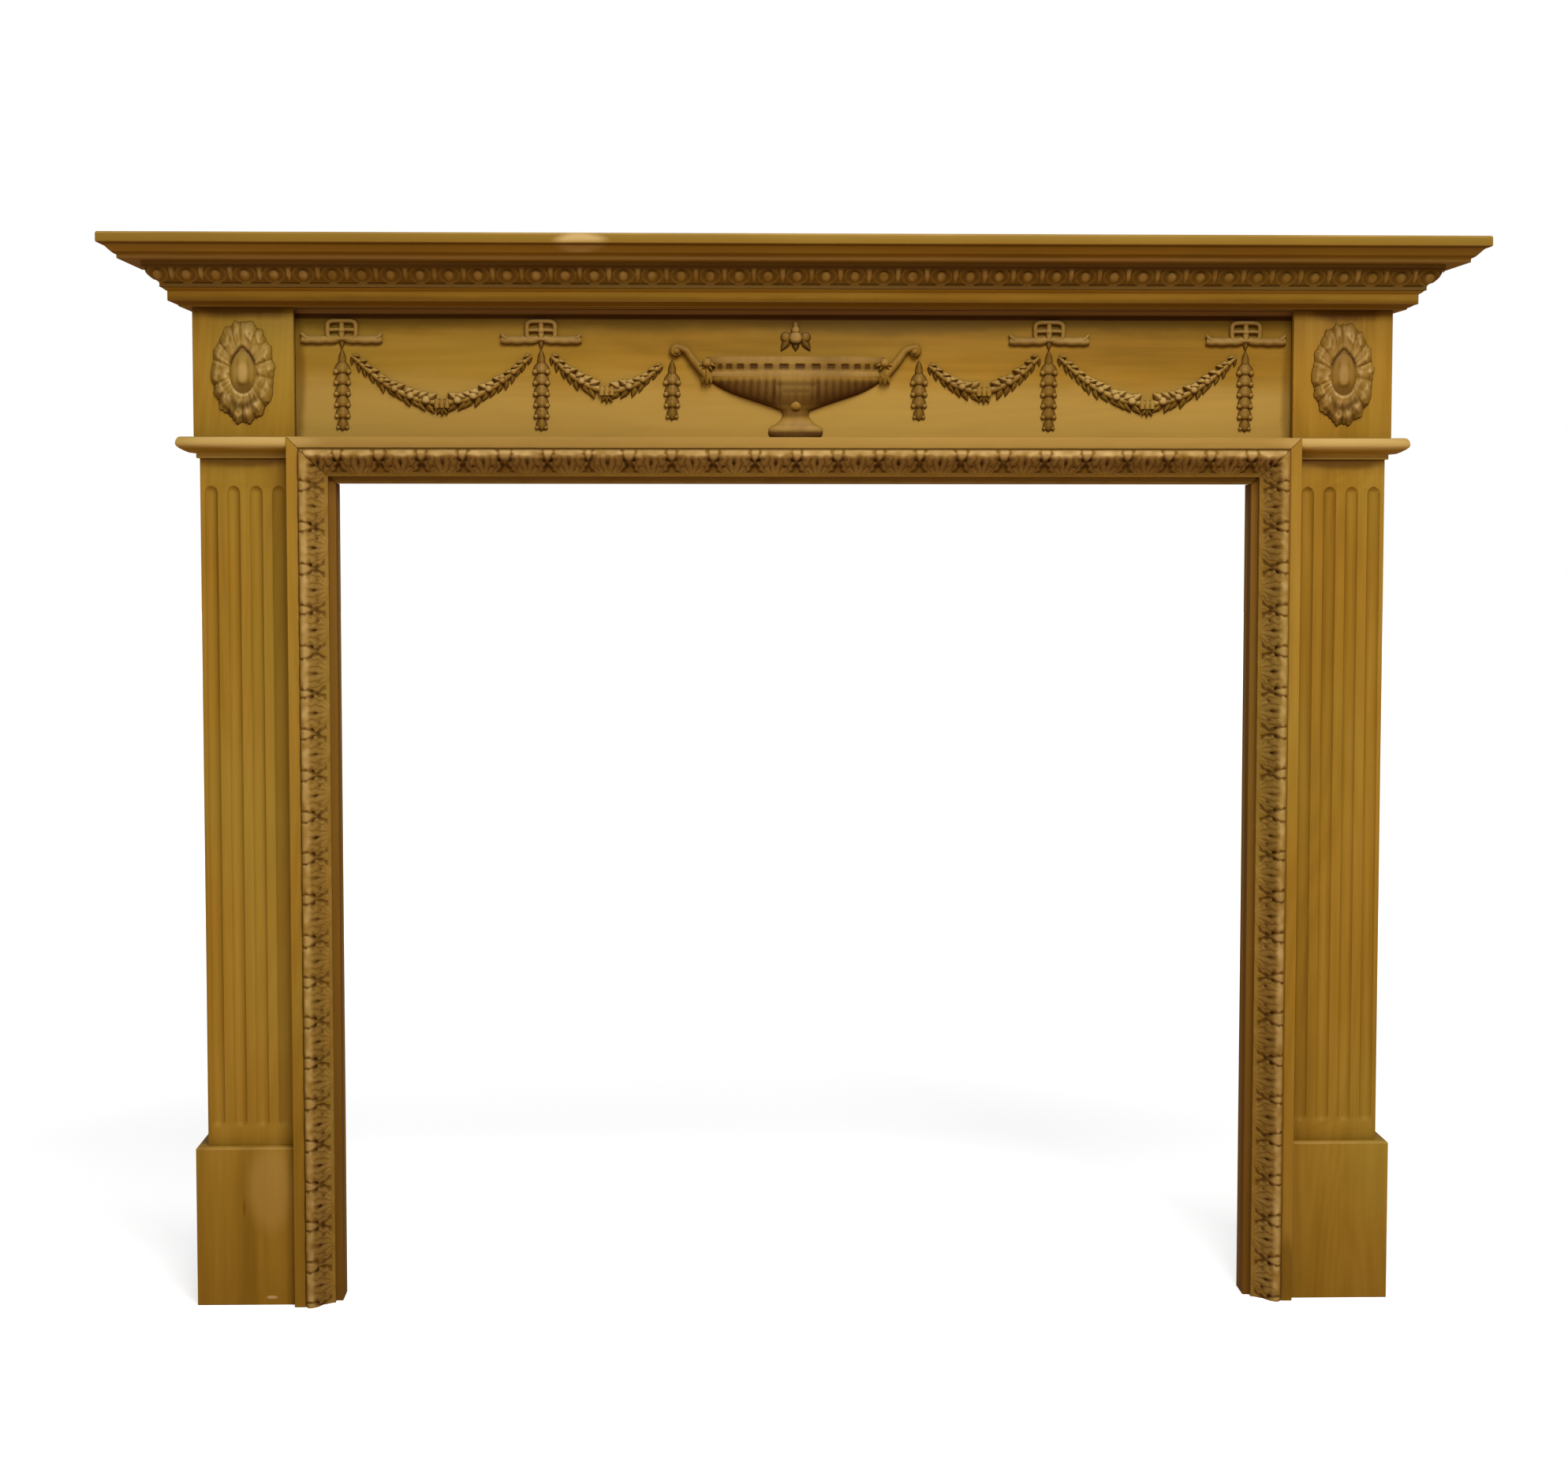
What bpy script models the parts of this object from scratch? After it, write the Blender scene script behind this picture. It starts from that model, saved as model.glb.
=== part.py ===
"""Carved pine fireplace mantel in the late Georgian manner: boards, mouldings and planted carvings.

Metres, +Z up. The front faces -Y and the wall is on the +Y side. X = 0 is the middle of the opening,
Z = 0 the hearth, and Y = 0 lies half way between the wall and the front edge of the shelf.
A depth in this file is measured from the wall towards the room.
"""

import math

import bmesh
import bpy
from mathutils import Matrix, Vector

# Opening and the plain frame round it
OPENING_WIDTH = 1.156
OPENING_HEIGHT = 1.043
FRAME_WIDTH = 0.0575
FRAME_BACK_DEPTH = 0.056
FRAME_SEAT_DEPTH = 0.080
FASCIA_WIDTH = 0.0155
FASCIA_DEPTH = 0.113
LINING = 0.014
LINING_BACK_DEPTH = 0.035

# Carved leaf moulding planted on the frame
LEAF_WIDTH = 0.033
LEAF_CREST = 0.038
LEAF_LIP = 0.010
LEAF_PITCH = 0.052
LEAF_RELIEF = 0.0055

# Pilasters, plinths and capitals. An overhang is measured from the pilaster.
BOARD = 0.022
PILASTER_DEPTH = 0.085
PILASTER_WIDTH = 0.111
PLINTH_HEIGHT = 0.203
PLINTH_PROUD = 0.0138
PLINTH_CHAMFER = 0.002
CAPITAL_HEIGHT = 0.0265
CAPITAL_NECK = 0.004
CAPITAL_NECK_HEIGHT = 0.0065
CAPITAL_BEVEL_FOOT = 0.0115
CAPITAL_NOSE = 0.0265
CAPITAL_NOSE_HEIGHT = 0.0175
CAPITAL_TOP = 0.0215
SIDE_BOARD = 0.020

# Flutes
FLUTES = 4
FLUTE_PITCH = 0.0280
FLUTE_WIDTH = 0.0165
FLUTE_SINK = 0.0052
FLUTE_TOP_MARGIN = 0.033
FLUTE_FOOT_MARGIN = 0.022

# Frieze
FRIEZE_HEIGHT = 0.1605
BLOCK_WIDTH = 0.1255
BLOCK_PROUD = 0.0065
FRIEZE_RECESS = 0.0125

# Cornice and shelf, upwards from the frieze. An overhang is measured from the face of the blocks.
LOWER_BED_HEIGHT = 0.023
LOWER_BED_FOOT = 0.0145
LOWER_BED_FOOT_HEIGHT = 0.002
LOWER_BED_FILLET = 0.026
LOWER_BED_FILLET_HEIGHT = 0.0125
LOWER_BED_QUIRK = 0.001
LOWER_BED_COVE_HEIGHT = 0.0045
CARVED_BED_HEIGHT = 0.0305
CARVED_BED_FOOT = 0.034
CARVED_BED_TOP = 0.053
CARVED_BED_FILLET = 0.004
EGG_PITCH = 0.0179
EGG_RELIEF = 0.0045
SHELF_THICKNESS = 0.031
SHELF_OVERHANG = 0.0995
SHELF_NOSE_HEIGHT = 0.012
SHELF_NOSE_ROUND = 0.0015
SHELF_CYMA_IN = 0.020
SHELF_LOWER_FILLET = 0.005

# Carvings planted on the frieze. A rise is measured up from the frieze's foot, a drop down from its top.
BOW_END_MARGIN = 0.059
BOW_SPACING = 0.249
BOW_DROP = 0.0290
BOW_TAIL_REACH = 0.049
BOW_LOOP_HALF = 0.0080
BOW_LOOP_OFFSET = 0.0112
BOW_LOOP_RISE = 0.0068
BOW_RELIEF = 0.0075
RIBBON_WIDTH = 0.0074
SWAG_END_OFFSET = 0.0125
SWAG_END_DROP = 0.0590
OUTER_SWAG_SAG = 0.059
INNER_SWAG_SAG = 0.0375
SWAG_THICK = 0.0086
SWAG_THIN = 0.0055
SWAG_RELIEF = 0.0110
SWAG_LEAF = 0.0105
LONG_DROP_HUSKS = 6
SHORT_DROP_HUSKS = 4
HUSK_WIDTH = 0.0115
HUSK_RELIEF = 0.0085
STEM_WIDTH = 0.0026
LONG_DROP_TOP = 0.0500
LONG_DROP_FOOT_RISE = 0.0070
SHORT_DROP_SPACING = 0.311
SHORT_DROP_TOP = 0.0630
SHORT_DROP_FOOT_RISE = 0.0205
URN_RIM_RADIUS = 0.112
URN_RIM_RISE = 0.1000
URN_RELIEF = 0.020
URN_MASK_WIDTH = 0.023
URN_MASK_HEIGHT = 0.034
URN_MASK_DROP = 0.0200
HANDLE_REACH = 0.1605
HANDLE_TOP_RISE = 0.1175
HANDLE_RADIUS = 0.0048
HANDLE_ROOT_DROP = 0.022
SCROLL_RADIUS = 0.0055
FINIAL_DROP = 0.0360
FINIAL_HALF_WIDTH = 0.0195
PATERA_HALF_WIDTH = 0.0405
PATERA_HALF_HEIGHT = 0.0665
PATERA_RELIEF = 0.0120
PATERA_LEAVES = 12

# Clearances
GAP = 0.0003
MITRE_GAP = 0.0002

# Levels and widths that follow from the sizes above
FRAME_OUTER = OPENING_WIDTH / 2 + FRAME_WIDTH
PILASTER_OUTER = FRAME_OUTER + PILASTER_WIDTH
BLOCK_OUTER = PILASTER_OUTER + BLOCK_PROUD
BLOCK_INNER = BLOCK_OUTER - BLOCK_WIDTH
BLOCK_DEPTH = PILASTER_DEPTH + BLOCK_PROUD
FRIEZE_DEPTH = BLOCK_DEPTH - FRIEZE_RECESS
FRIEZE_FOOT = OPENING_HEIGHT + FRAME_WIDTH
FRIEZE_TOP = FRIEZE_FOOT + FRIEZE_HEIGHT
CAPITAL_FOOT = FRIEZE_FOOT - CAPITAL_HEIGHT
CARVED_BED_FOOT_Z = FRIEZE_TOP + LOWER_BED_HEIGHT
SHELF_FOOT = CARVED_BED_FOOT_Z + CARVED_BED_HEIGHT
OVERALL_DEPTH = BLOCK_DEPTH + SHELF_OVERHANG
OUTER_BOW = BLOCK_INNER - BOW_END_MARGIN
INNER_BOW = OUTER_BOW - BOW_SPACING
ORNAMENT_DEPTH = FRIEZE_DEPTH + GAP

SIDES = {"left": -1, "right": 1}
MOULDED_ANGLE = math.radians(32)


def y_at(depth):
    """The Y of a depth measured from the wall."""
    return OVERALL_DEPTH / 2 - depth


def wood(name, colour, roughness):
    made = bpy.data.materials.new(name)
    made.use_nodes = True
    shader = made.node_tree.nodes["Principled BSDF"]
    shader.inputs["Base Color"].default_value = (*colour, 1.0)
    shader.inputs["Roughness"].default_value = roughness
    shader.inputs["Metallic"].default_value = 0.0
    return made


def finish(name, bm, material, at, turn=0.0, round_piece=False):
    """Makes the object of a finished bmesh, at a place in the mantel and turned about Y."""
    bmesh.ops.recalc_face_normals(bm, faces=bm.faces)
    mesh = bpy.data.meshes.new(name)
    bm.to_mesh(mesh)
    bm.free()
    mesh.materials.append(material)
    if round_piece:
        mesh.shade_smooth()
        mesh.set_sharp_from_angle(angle=MOULDED_ANGLE)
    piece = bpy.data.objects.new(name, mesh)
    bpy.context.scene.collection.objects.link(piece)
    piece.location = at
    piece.rotation_euler = (0.0, turn, 0.0)
    piece.parent = mantel
    return piece


def helper(name, bm):
    """An object that only cuts or joins: the build leaves it out."""
    piece = finish(name, bm, None, (0.0, 0.0, 0.0))
    piece.hide_render = True
    piece.display_type = "WIRE"
    return piece


def add_skin(bm, sections, closed_path=False):
    """Joins loops of points that follow one another into one closed skin inside bm."""
    rings = [[bm.verts.new(point) for point in section] for section in sections]
    count = len(rings[0])
    pairs = list(zip(rings, rings[1:]))
    if closed_path:
        pairs.append((rings[-1], rings[0]))
    for near, far in pairs:
        for i in range(count):
            j = (i + 1) % count
            bm.faces.new((near[i], near[j], far[j], far[i]))
    if not closed_path:
        bm.faces.new(rings[0])
        bm.faces.new(list(reversed(rings[-1])))


def skin(sections):
    bm = bmesh.new()
    add_skin(bm, sections)
    return bm


def cut_flat(bm, point, outward):
    """Saws off what lies beyond a plane and closes the cut."""
    everything = bm.verts[:] + bm.edges[:] + bm.faces[:]
    bmesh.ops.bisect_plane(bm, geom=everything, plane_co=point, plane_no=outward, clear_outer=True)
    rim = [edge for edge in bm.edges if edge.is_boundary]
    bmesh.ops.holes_fill(bm, edges=rim, sides=0)


def board(name, material, x_range, depth_range, z_range):
    """A plain board, given by its two X, its two depths and its two Z."""
    low = Vector((x_range[0], y_at(depth_range[1]), z_range[0]))
    high = Vector((x_range[1], y_at(depth_range[0]), z_range[1]))
    size = high - low
    bm = bmesh.new()
    bmesh.ops.create_cube(bm, size=1.0)
    bmesh.ops.scale(bm, vec=size, verts=bm.verts)
    return finish(name, bm, material, (low + high) / 2)


def mirrored_range(side, inner, outer):
    """The X range between two distances from the middle, on one side."""
    return (side * inner, side * outer) if side > 0 else (side * outer, side * inner)


def swept_between(start, end, bend, steps):
    """Points from start to end whose second value follows bend, which runs from 0 to 1."""
    points = []
    for i in range(steps + 1):
        t = i / steps
        points.append((start[0] + (end[0] - start[0]) * t, start[1] + (end[1] - start[1]) * bend(t)))
    return points


def cyma(t):
    return 0.5 - 0.5 * math.cos(math.pi * t)


def cove(t):
    return 1.0 - math.cos(math.pi / 2 * t)


def quarter_round(t):
    return math.sin(math.pi / 2 * t)


# Shelf

def shelf_profile():
    """(overhang, height over the shelf's foot), upwards."""
    nose_foot = SHELF_THICKNESS - SHELF_NOSE_HEIGHT
    lower = SHELF_OVERHANG - SHELF_CYMA_IN - SHELF_NOSE_ROUND
    quirk = (SHELF_OVERHANG - 2 * SHELF_NOSE_ROUND, nose_foot - SHELF_NOSE_ROUND)
    points = [(lower, 0.0)]
    points += swept_between((lower, SHELF_LOWER_FILLET), quirk, cyma, 6)
    points.append((SHELF_OVERHANG - SHELF_NOSE_ROUND, nose_foot - SHELF_NOSE_ROUND))
    points.append((SHELF_OVERHANG, nose_foot))
    points.append((SHELF_OVERHANG, SHELF_THICKNESS - SHELF_NOSE_ROUND))
    points.append((SHELF_OVERHANG - SHELF_NOSE_ROUND, SHELF_THICKNESS))
    return points


def make_shelf():
    wall = y_at(0)
    sections = []
    for overhang, height in shelf_profile():
        half = BLOCK_OUTER + overhang
        front = y_at(BLOCK_DEPTH + overhang)
        corners = ((-half, wall), (half, wall), (half, front), (-half, front))
        sections.append([(x, y, height) for x, y in corners])
    finish("mantel_shelf", skin(sections), pine, (0.0, 0.0, SHELF_FOOT + GAP), round_piece=True)


# Bed mouldings under the shelf

def run_sections(stations, outline_at):
    """Loops along local X. outline_at gives (out, z) points at a station, and out points to -Y."""
    return [[(s, -out, z) for out, z in outline_at(s)] for s in stations]


def lower_bed_outline(_):
    """A small ogee, a broad fillet and a cove that meets the foot of the egg course."""
    top = LOWER_BED_HEIGHT - 2 * GAP
    fillet_top = LOWER_BED_HEIGHT - LOWER_BED_COVE_HEIGHT
    fillet_foot = fillet_top - LOWER_BED_FILLET_HEIGHT
    foot = (LOWER_BED_FOOT, LOWER_BED_FOOT_HEIGHT)
    outline = [(GAP, top), (GAP, 0.0), (LOWER_BED_FOOT, 0.0)]
    outline += swept_between(foot, (LOWER_BED_FILLET - LOWER_BED_QUIRK, fillet_foot), cyma, 4)
    outline.append((LOWER_BED_FILLET, fillet_foot))
    outline += swept_between((LOWER_BED_FILLET, fillet_top), (CARVED_BED_FOOT - 0.002, top), cove, 3)
    return outline


def carved_bed_outline(s):
    """The egg course at a station: full on an egg, cut back beside it."""
    egg = 0.5 + 0.5 * math.cos(2 * math.pi * s / EGG_PITCH)
    top = CARVED_BED_HEIGHT - CARVED_BED_FILLET
    points = [(GAP, CARVED_BED_HEIGHT), (GAP, 0.0), (CARVED_BED_FOOT, 0.0)]
    points.append((CARVED_BED_FOOT, CARVED_BED_FILLET))
    for rise in (0.35, 0.75):
        full = CARVED_BED_FOOT + (CARVED_BED_TOP - CARVED_BED_FOOT) * quarter_round(rise)
        height = CARVED_BED_FILLET + (top - CARVED_BED_FILLET) * rise
        points.append((full - EGG_RELIEF * (1 - egg), height))
    return points + [(CARVED_BED_TOP, top), (CARVED_BED_TOP, CARVED_BED_HEIGHT)]


def pattern_stations(length, pitch, steps):
    """Stations each side of 0, far enough to cover half of length, on a pattern's own grid."""
    count = math.ceil(length / 2 / pitch) * steps
    return [i * pitch / steps for i in range(-count, count + 1)]


def make_bed_mould(name, outline_at, foot, pitch, steps):
    """One course of the cornice: a front length and two returns to the wall, mitred at the corners."""
    widest = BLOCK_OUTER + CARVED_BED_TOP
    front = skin(run_sections(pattern_stations(2 * widest + 2 * pitch, pitch, steps), outline_at))
    for side in SIDES.values():
        cut_flat(front, (side * (BLOCK_OUTER - MITRE_GAP), 0.0, 0.0), (side, 1.0, 0.0))
    finish(f"{name}_front", front, pine, (0.0, y_at(BLOCK_DEPTH), foot), round_piece=True)
    returned = BLOCK_DEPTH + CARVED_BED_TOP
    for side_name, side in SIDES.items():
        run = skin(run_sections(pattern_stations(2 * returned + 2 * pitch, pitch, steps), outline_at))
        cut_flat(run, (side * MITRE_GAP, 0.0, 0.0), (-side, 1.0, 0.0))
        cut_flat(run, (side * BLOCK_DEPTH, 0.0, 0.0), (side, 0.0, 0.0))
        bmesh.ops.rotate(run, verts=run.verts, matrix=Matrix.Rotation(side * math.pi / 2, 3, "Z"))
        corner = (side * BLOCK_OUTER, y_at(BLOCK_DEPTH), foot)
        finish(f"{name}_{side_name}", run, pine, corner, round_piece=True)


def make_cornice():
    make_bed_mould("lower_bed_mould", lower_bed_outline, FRIEZE_TOP + GAP, 0.5, 1)
    make_bed_mould("carved_bed_mould", carved_bed_outline, CARVED_BED_FOOT_Z, EGG_PITCH, 2)
    board(
        "cornice_board",
        pine,
        (-BLOCK_OUTER, BLOCK_OUTER),
        (BLOCK_DEPTH - BOARD, BLOCK_DEPTH),
        (FRIEZE_TOP + GAP, SHELF_FOOT),
    )


# Frieze

def make_frieze():
    board(
        "frieze_board",
        pine,
        (GAP - BLOCK_INNER, BLOCK_INNER - GAP),
        (FRIEZE_DEPTH - BOARD, FRIEZE_DEPTH),
        (FRIEZE_FOOT + GAP, FRIEZE_TOP),
    )
    for side_name, side in SIDES.items():
        board(
            f"frieze_block_{side_name}",
            pine,
            mirrored_range(side, BLOCK_INNER, BLOCK_OUTER),
            (BLOCK_DEPTH - BOARD, BLOCK_DEPTH),
            (FRIEZE_FOOT + GAP, FRIEZE_TOP),
        )
        board(
            f"frieze_side_{side_name}",
            pine,
            mirrored_range(side, BLOCK_OUTER - SIDE_BOARD, BLOCK_OUTER),
            (0.0, BLOCK_DEPTH - BOARD - GAP),
            (FRIEZE_FOOT + GAP, SHELF_FOOT),
        )


# Pilasters, plinths and capitals

def flute_cutter(name, length):
    """Round-ended bars side by side, each sunk so that it cuts one flute."""
    radius = (FLUTE_WIDTH**2 / 4 + FLUTE_SINK**2) / (2 * FLUTE_SINK)
    end_steps = 3
    sides = 12
    bm = bmesh.new()
    for flute in range(FLUTES):
        x = (flute - (FLUTES - 1) / 2) * FLUTE_PITCH
        sections = []
        for end in (-1, 1):
            for step in range(1, end_steps + 1):
                angle = math.pi / 2 * (step if end < 0 else end_steps + 1 - step) / end_steps
                ring_radius = radius * math.sin(min(angle, math.pi / 2))
                z = end * (length / 2 - radius + radius * math.cos(angle))
                sections.append(
                    [
                        (
                            x + ring_radius * math.cos(2 * math.pi * i / sides),
                            ring_radius * math.sin(2 * math.pi * i / sides) - (radius - FLUTE_SINK),
                            z,
                        )
                        for i in range(sides)
                    ]
                )
        add_skin(bm, sections)
    return helper(name, bm)


def make_pilaster(side_name, side):
    foot = PLINTH_HEIGHT + GAP
    top = CAPITAL_FOOT - GAP
    shaft = board(
        f"pilaster_{side_name}",
        pine,
        mirrored_range(side, FRAME_OUTER + GAP, PILASTER_OUTER),
        (PILASTER_DEPTH - BOARD, PILASTER_DEPTH),
        (foot, top),
    )
    low = foot + FLUTE_FOOT_MARGIN
    high = top - FLUTE_TOP_MARGIN
    cutter = flute_cutter(f"flutes_{side_name}", high - low)
    cutter.location = (side * (FRAME_OUTER + PILASTER_WIDTH / 2), y_at(PILASTER_DEPTH), (low + high) / 2)
    cut = shaft.modifiers.new("flutes", "BOOLEAN")
    cut.operation = "DIFFERENCE"
    cut.solver = "EXACT"
    cut.object = cutter
    board(
        f"jamb_side_{side_name}",
        pine,
        mirrored_range(side, PILASTER_OUTER - SIDE_BOARD, PILASTER_OUTER),
        (0.0, PILASTER_DEPTH - BOARD - GAP),
        (foot, top),
    )


def stepped_block(profile, side, inner):
    """A block whose front and outer side follow one profile of (overhang, z) over the pilaster."""
    sections = []
    for overhang, z in profile:
        outer = side * (PILASTER_OUTER + overhang)
        front = y_at(PILASTER_DEPTH + overhang)
        sections.append(
            [(side * inner, y_at(0), z), (outer, y_at(0), z), (outer, front, z), (side * inner, front, z)]
        )
    return skin(sections)


def make_plinth(side_name, side):
    profile = [
        (PLINTH_PROUD, 0.0),
        (PLINTH_PROUD, PLINTH_HEIGHT - PLINTH_CHAMFER),
        (PLINTH_PROUD - PLINTH_CHAMFER, PLINTH_HEIGHT),
    ]
    block = stepped_block(profile, side, FRAME_OUTER + GAP)
    finish(f"plinth_{side_name}", block, pine, (0.0, 0.0, 0.0))


def make_capital(side_name, side):
    """A plain neck, a bevel that leans out over it and a nose rounded back to the top."""
    profile = [(CAPITAL_NECK, 0.0), (CAPITAL_NECK, CAPITAL_NECK_HEIGHT)]
    profile.append((CAPITAL_BEVEL_FOOT, CAPITAL_NECK_HEIGHT + GAP))
    for step in range(1, 5):
        t = step / 4
        overhang = CAPITAL_BEVEL_FOOT + (CAPITAL_NOSE - CAPITAL_BEVEL_FOOT) * quarter_round(t)
        height = CAPITAL_NECK_HEIGHT + (CAPITAL_NOSE_HEIGHT - CAPITAL_NECK_HEIGHT) * t
        profile.append((overhang, height))
    for step in range(1, 4):
        t = step / 3
        overhang = CAPITAL_NOSE - (CAPITAL_NOSE - CAPITAL_TOP) * cove(t)
        height = CAPITAL_NOSE_HEIGHT + (CAPITAL_HEIGHT - CAPITAL_NOSE_HEIGHT) * quarter_round(t)
        profile.append((overhang, height))
    block = stepped_block(profile, side, FRAME_OUTER + GAP)
    finish(f"capital_{side_name}", block, pine, (0.0, 0.0, CAPITAL_FOOT), round_piece=True)


# Frame round the opening, and the leaf moulding on it

# Each member runs along its own X, with the opening's edge at local z = 0 and the outer edge above it.
# turn swings it about Y: the top member lies as built, the jambs are swung by a quarter turn.
MEMBERS = {
    "left": (-math.pi / 2, (-OPENING_WIDTH / 2, 0.0), 0.0, OPENING_HEIGHT),
    "top": (0.0, (0.0, OPENING_HEIGHT), -OPENING_WIDTH / 2, OPENING_WIDTH / 2),
    "right": (math.pi / 2, (OPENING_WIDTH / 2, 0.0), -OPENING_HEIGHT, 0.0),
}


def member_ends(name, across):
    """Where a member starts and ends at a height over the opening's edge: 45 degrees at a mitre."""
    _, _, start, end = MEMBERS[name]
    if name != "left":
        start -= across - MITRE_GAP
    if name != "right":
        end += across - MITRE_GAP
    return start, end


def make_frame(name):
    turn, (x, z), _, _ = MEMBERS[name]
    outline = [
        (FRAME_BACK_DEPTH, 0.0),
        (FRAME_SEAT_DEPTH, 0.0),
        (FRAME_SEAT_DEPTH, FRAME_WIDTH - FASCIA_WIDTH),
        (FASCIA_DEPTH, FRAME_WIDTH - FASCIA_WIDTH),
        (FASCIA_DEPTH, FRAME_WIDTH),
        (FRAME_BACK_DEPTH, FRAME_WIDTH),
    ]
    sections = []
    for end in (0, 1):
        sections.append([(member_ends(name, across)[end], -depth, across) for depth, across in outline])
    finish(f"frame_{name}", skin(sections), pine, (x, y_at(0), z), turn)


def make_linings():
    """Fillets that carry the sides and the head of the opening back behind the frame."""
    inner = OPENING_WIDTH / 2
    depths = (LINING_BACK_DEPTH, FRAME_BACK_DEPTH - GAP)
    for side_name, side in SIDES.items():
        across = mirrored_range(side, inner, inner + LINING)
        board(f"lining_{side_name}", pine, across, depths, (0.0, OPENING_HEIGHT - GAP))
    across = (-inner - LINING, inner + LINING)
    board("lining_top", pine, across, depths, (OPENING_HEIGHT, OPENING_HEIGHT + LINING))


# Where a unit of the pattern is cut, as shares of the pitch, and how much of the relief is left there:
# the dart, the groove, the leaf's two shoulders and the next groove.
LEAF_CUTS = ((0.0, 0.85), (0.13, 0.0), (0.30, 1.0), (0.70, 1.0), (0.87, 0.0))
LEAF_ACROSS = (0.0, 0.38, 0.78, 1.0)


def leaf_outline(s):
    """The leaf moulding's section at a station, which is one of the cuts of its pattern."""
    phase = (s / LEAF_PITCH) % 1.0
    standing = min(LEAF_CUTS, key=lambda cut: min(abs(cut[0] - phase), 1 - abs(cut[0] - phase)))[1]
    outer = FRAME_WIDTH - FASCIA_WIDTH - GAP
    points = [(GAP, outer - LEAF_WIDTH), (GAP, outer)]
    for across in LEAF_ACROSS:
        ogee = LEAF_LIP + (LEAF_CREST - LEAF_LIP) * (1 - cyma(across))
        points.append((ogee - LEAF_RELIEF * (1 - standing), outer - LEAF_WIDTH * across))
    return points


def make_leaf_moulding(name):
    turn, (x, z), start, end = MEMBERS[name]
    reach = OPENING_WIDTH if name == "top" else 2 * OPENING_HEIGHT
    units = math.ceil(reach / LEAF_PITCH)
    stations = [(unit + cut) * LEAF_PITCH for unit in range(-units, units) for cut, _ in LEAF_CUTS]
    keep = [s for s in stations if start - 2 * FRAME_WIDTH <= s <= end + 2 * FRAME_WIDTH]
    run = skin(run_sections(keep, leaf_outline))
    if name == "left":
        cut_flat(run, (start, 0.0, 0.0), (-1.0, 0.0, 0.0))
    else:
        cut_flat(run, (start + MITRE_GAP, 0.0, 0.0), (-1.0, 0.0, -1.0))
    if name == "right":
        cut_flat(run, (end, 0.0, 0.0), (1.0, 0.0, 0.0))
    else:
        cut_flat(run, (end - MITRE_GAP, 0.0, 0.0), (1.0, 0.0, -1.0))
    at = (x, y_at(FRAME_SEAT_DEPTH), z)
    finish(f"leaf_moulding_{name}", run, carved_pine, at, turn, round_piece=True)


# Planted carvings. Each is flat behind, on the face it is glued to, and stands out towards -Y.

def relief_section(centre, across, half_width, height, points=4):
    """A low arched loop round a point of the carving's path, lying along the unit vector across."""
    section = []
    for i in range(points):
        angle = math.pi * i / (points - 1)
        offset = half_width * math.cos(angle)
        out = height * (0.22 + 0.78 * math.sin(angle))
        section.append((centre[0] + across[0] * offset, -out, centre[1] + across[1] * offset))
    first = (centre[0] + across[0] * half_width, 0.0, centre[1] + across[1] * half_width)
    last = (centre[0] - across[0] * half_width, 0.0, centre[1] - across[1] * half_width)
    return [first, *section, last]


def normals_along(path, closed=False):
    """A unit vector across the path at each of its points."""
    count = len(path)
    found = []
    for i in range(count):
        before = path[(i - 1) % count] if closed else path[max(i - 1, 0)]
        after = path[(i + 1) % count] if closed else path[min(i + 1, count - 1)]
        along = Vector((after[0] - before[0], after[1] - before[1])).normalized()
        found.append((-along.y, along.x))
    return found


def add_ribbon(bm, path, half_widths, height, closed=False):
    across = normals_along(path, closed)
    sections = [
        relief_section(point, across[i], half_widths[i], height, 3) for i, point in enumerate(path)
    ]
    add_skin(bm, sections, closed)


def make_swag(name, left_end, right_end, sag, at):
    """A hanging garland, thick in the middle, with leaf tips down both edges and a flower at its foot."""
    span = right_end[0] - left_end[0]
    leaves = 2 * round((span + sag) / SWAG_LEAF / 2)
    flower = 0.075
    sections_path = []
    widths = []
    for i in range(leaves + 1):
        t = i / leaves
        hang = 1 - (2 * t - 1) ** 2
        x = left_end[0] + span * t
        z = left_end[1] + (right_end[1] - left_end[1]) * t - sag * hang
        body = SWAG_THIN + (SWAG_THICK - SWAG_THIN) * math.sin(math.pi * t) ** 0.7
        tip = 1.0 if i % 2 else 0.66
        if abs(t - 0.5) * span < flower * span:
            tip = 1.22
        sections_path.append((x, z))
        widths.append(body * tip)
    across = normals_along(sections_path)
    sections = []
    for i, point in enumerate(sections_path):
        height = SWAG_RELIEF * (0.45 + 0.55 * widths[i] / (SWAG_THICK * 1.22))
        sections.append(relief_section(point, across[i], widths[i], height))
    finish(name, skin(sections), carved_pine, at, round_piece=True)


# A bow's tail: how far along its reach, how high over the bow's centre, and its share of the ribbon's width
BOW_TAIL = (
    (0.02, -0.0075, 1.0), (0.20, -0.0140, 1.1), (0.50, -0.0130, 1.1),
    (0.80, -0.0140, 1.2), (1.00, -0.0095, 0.9),
)  # fmt: skip
# The knot, downwards: height over the bow's centre, half width
BOW_KNOT = ((0.0035, 0.0030), (-0.0015, 0.0052), (-0.0095, 0.0058), (-0.0160, 0.0030))
BOW_LOOP_POINTS = 8


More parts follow.
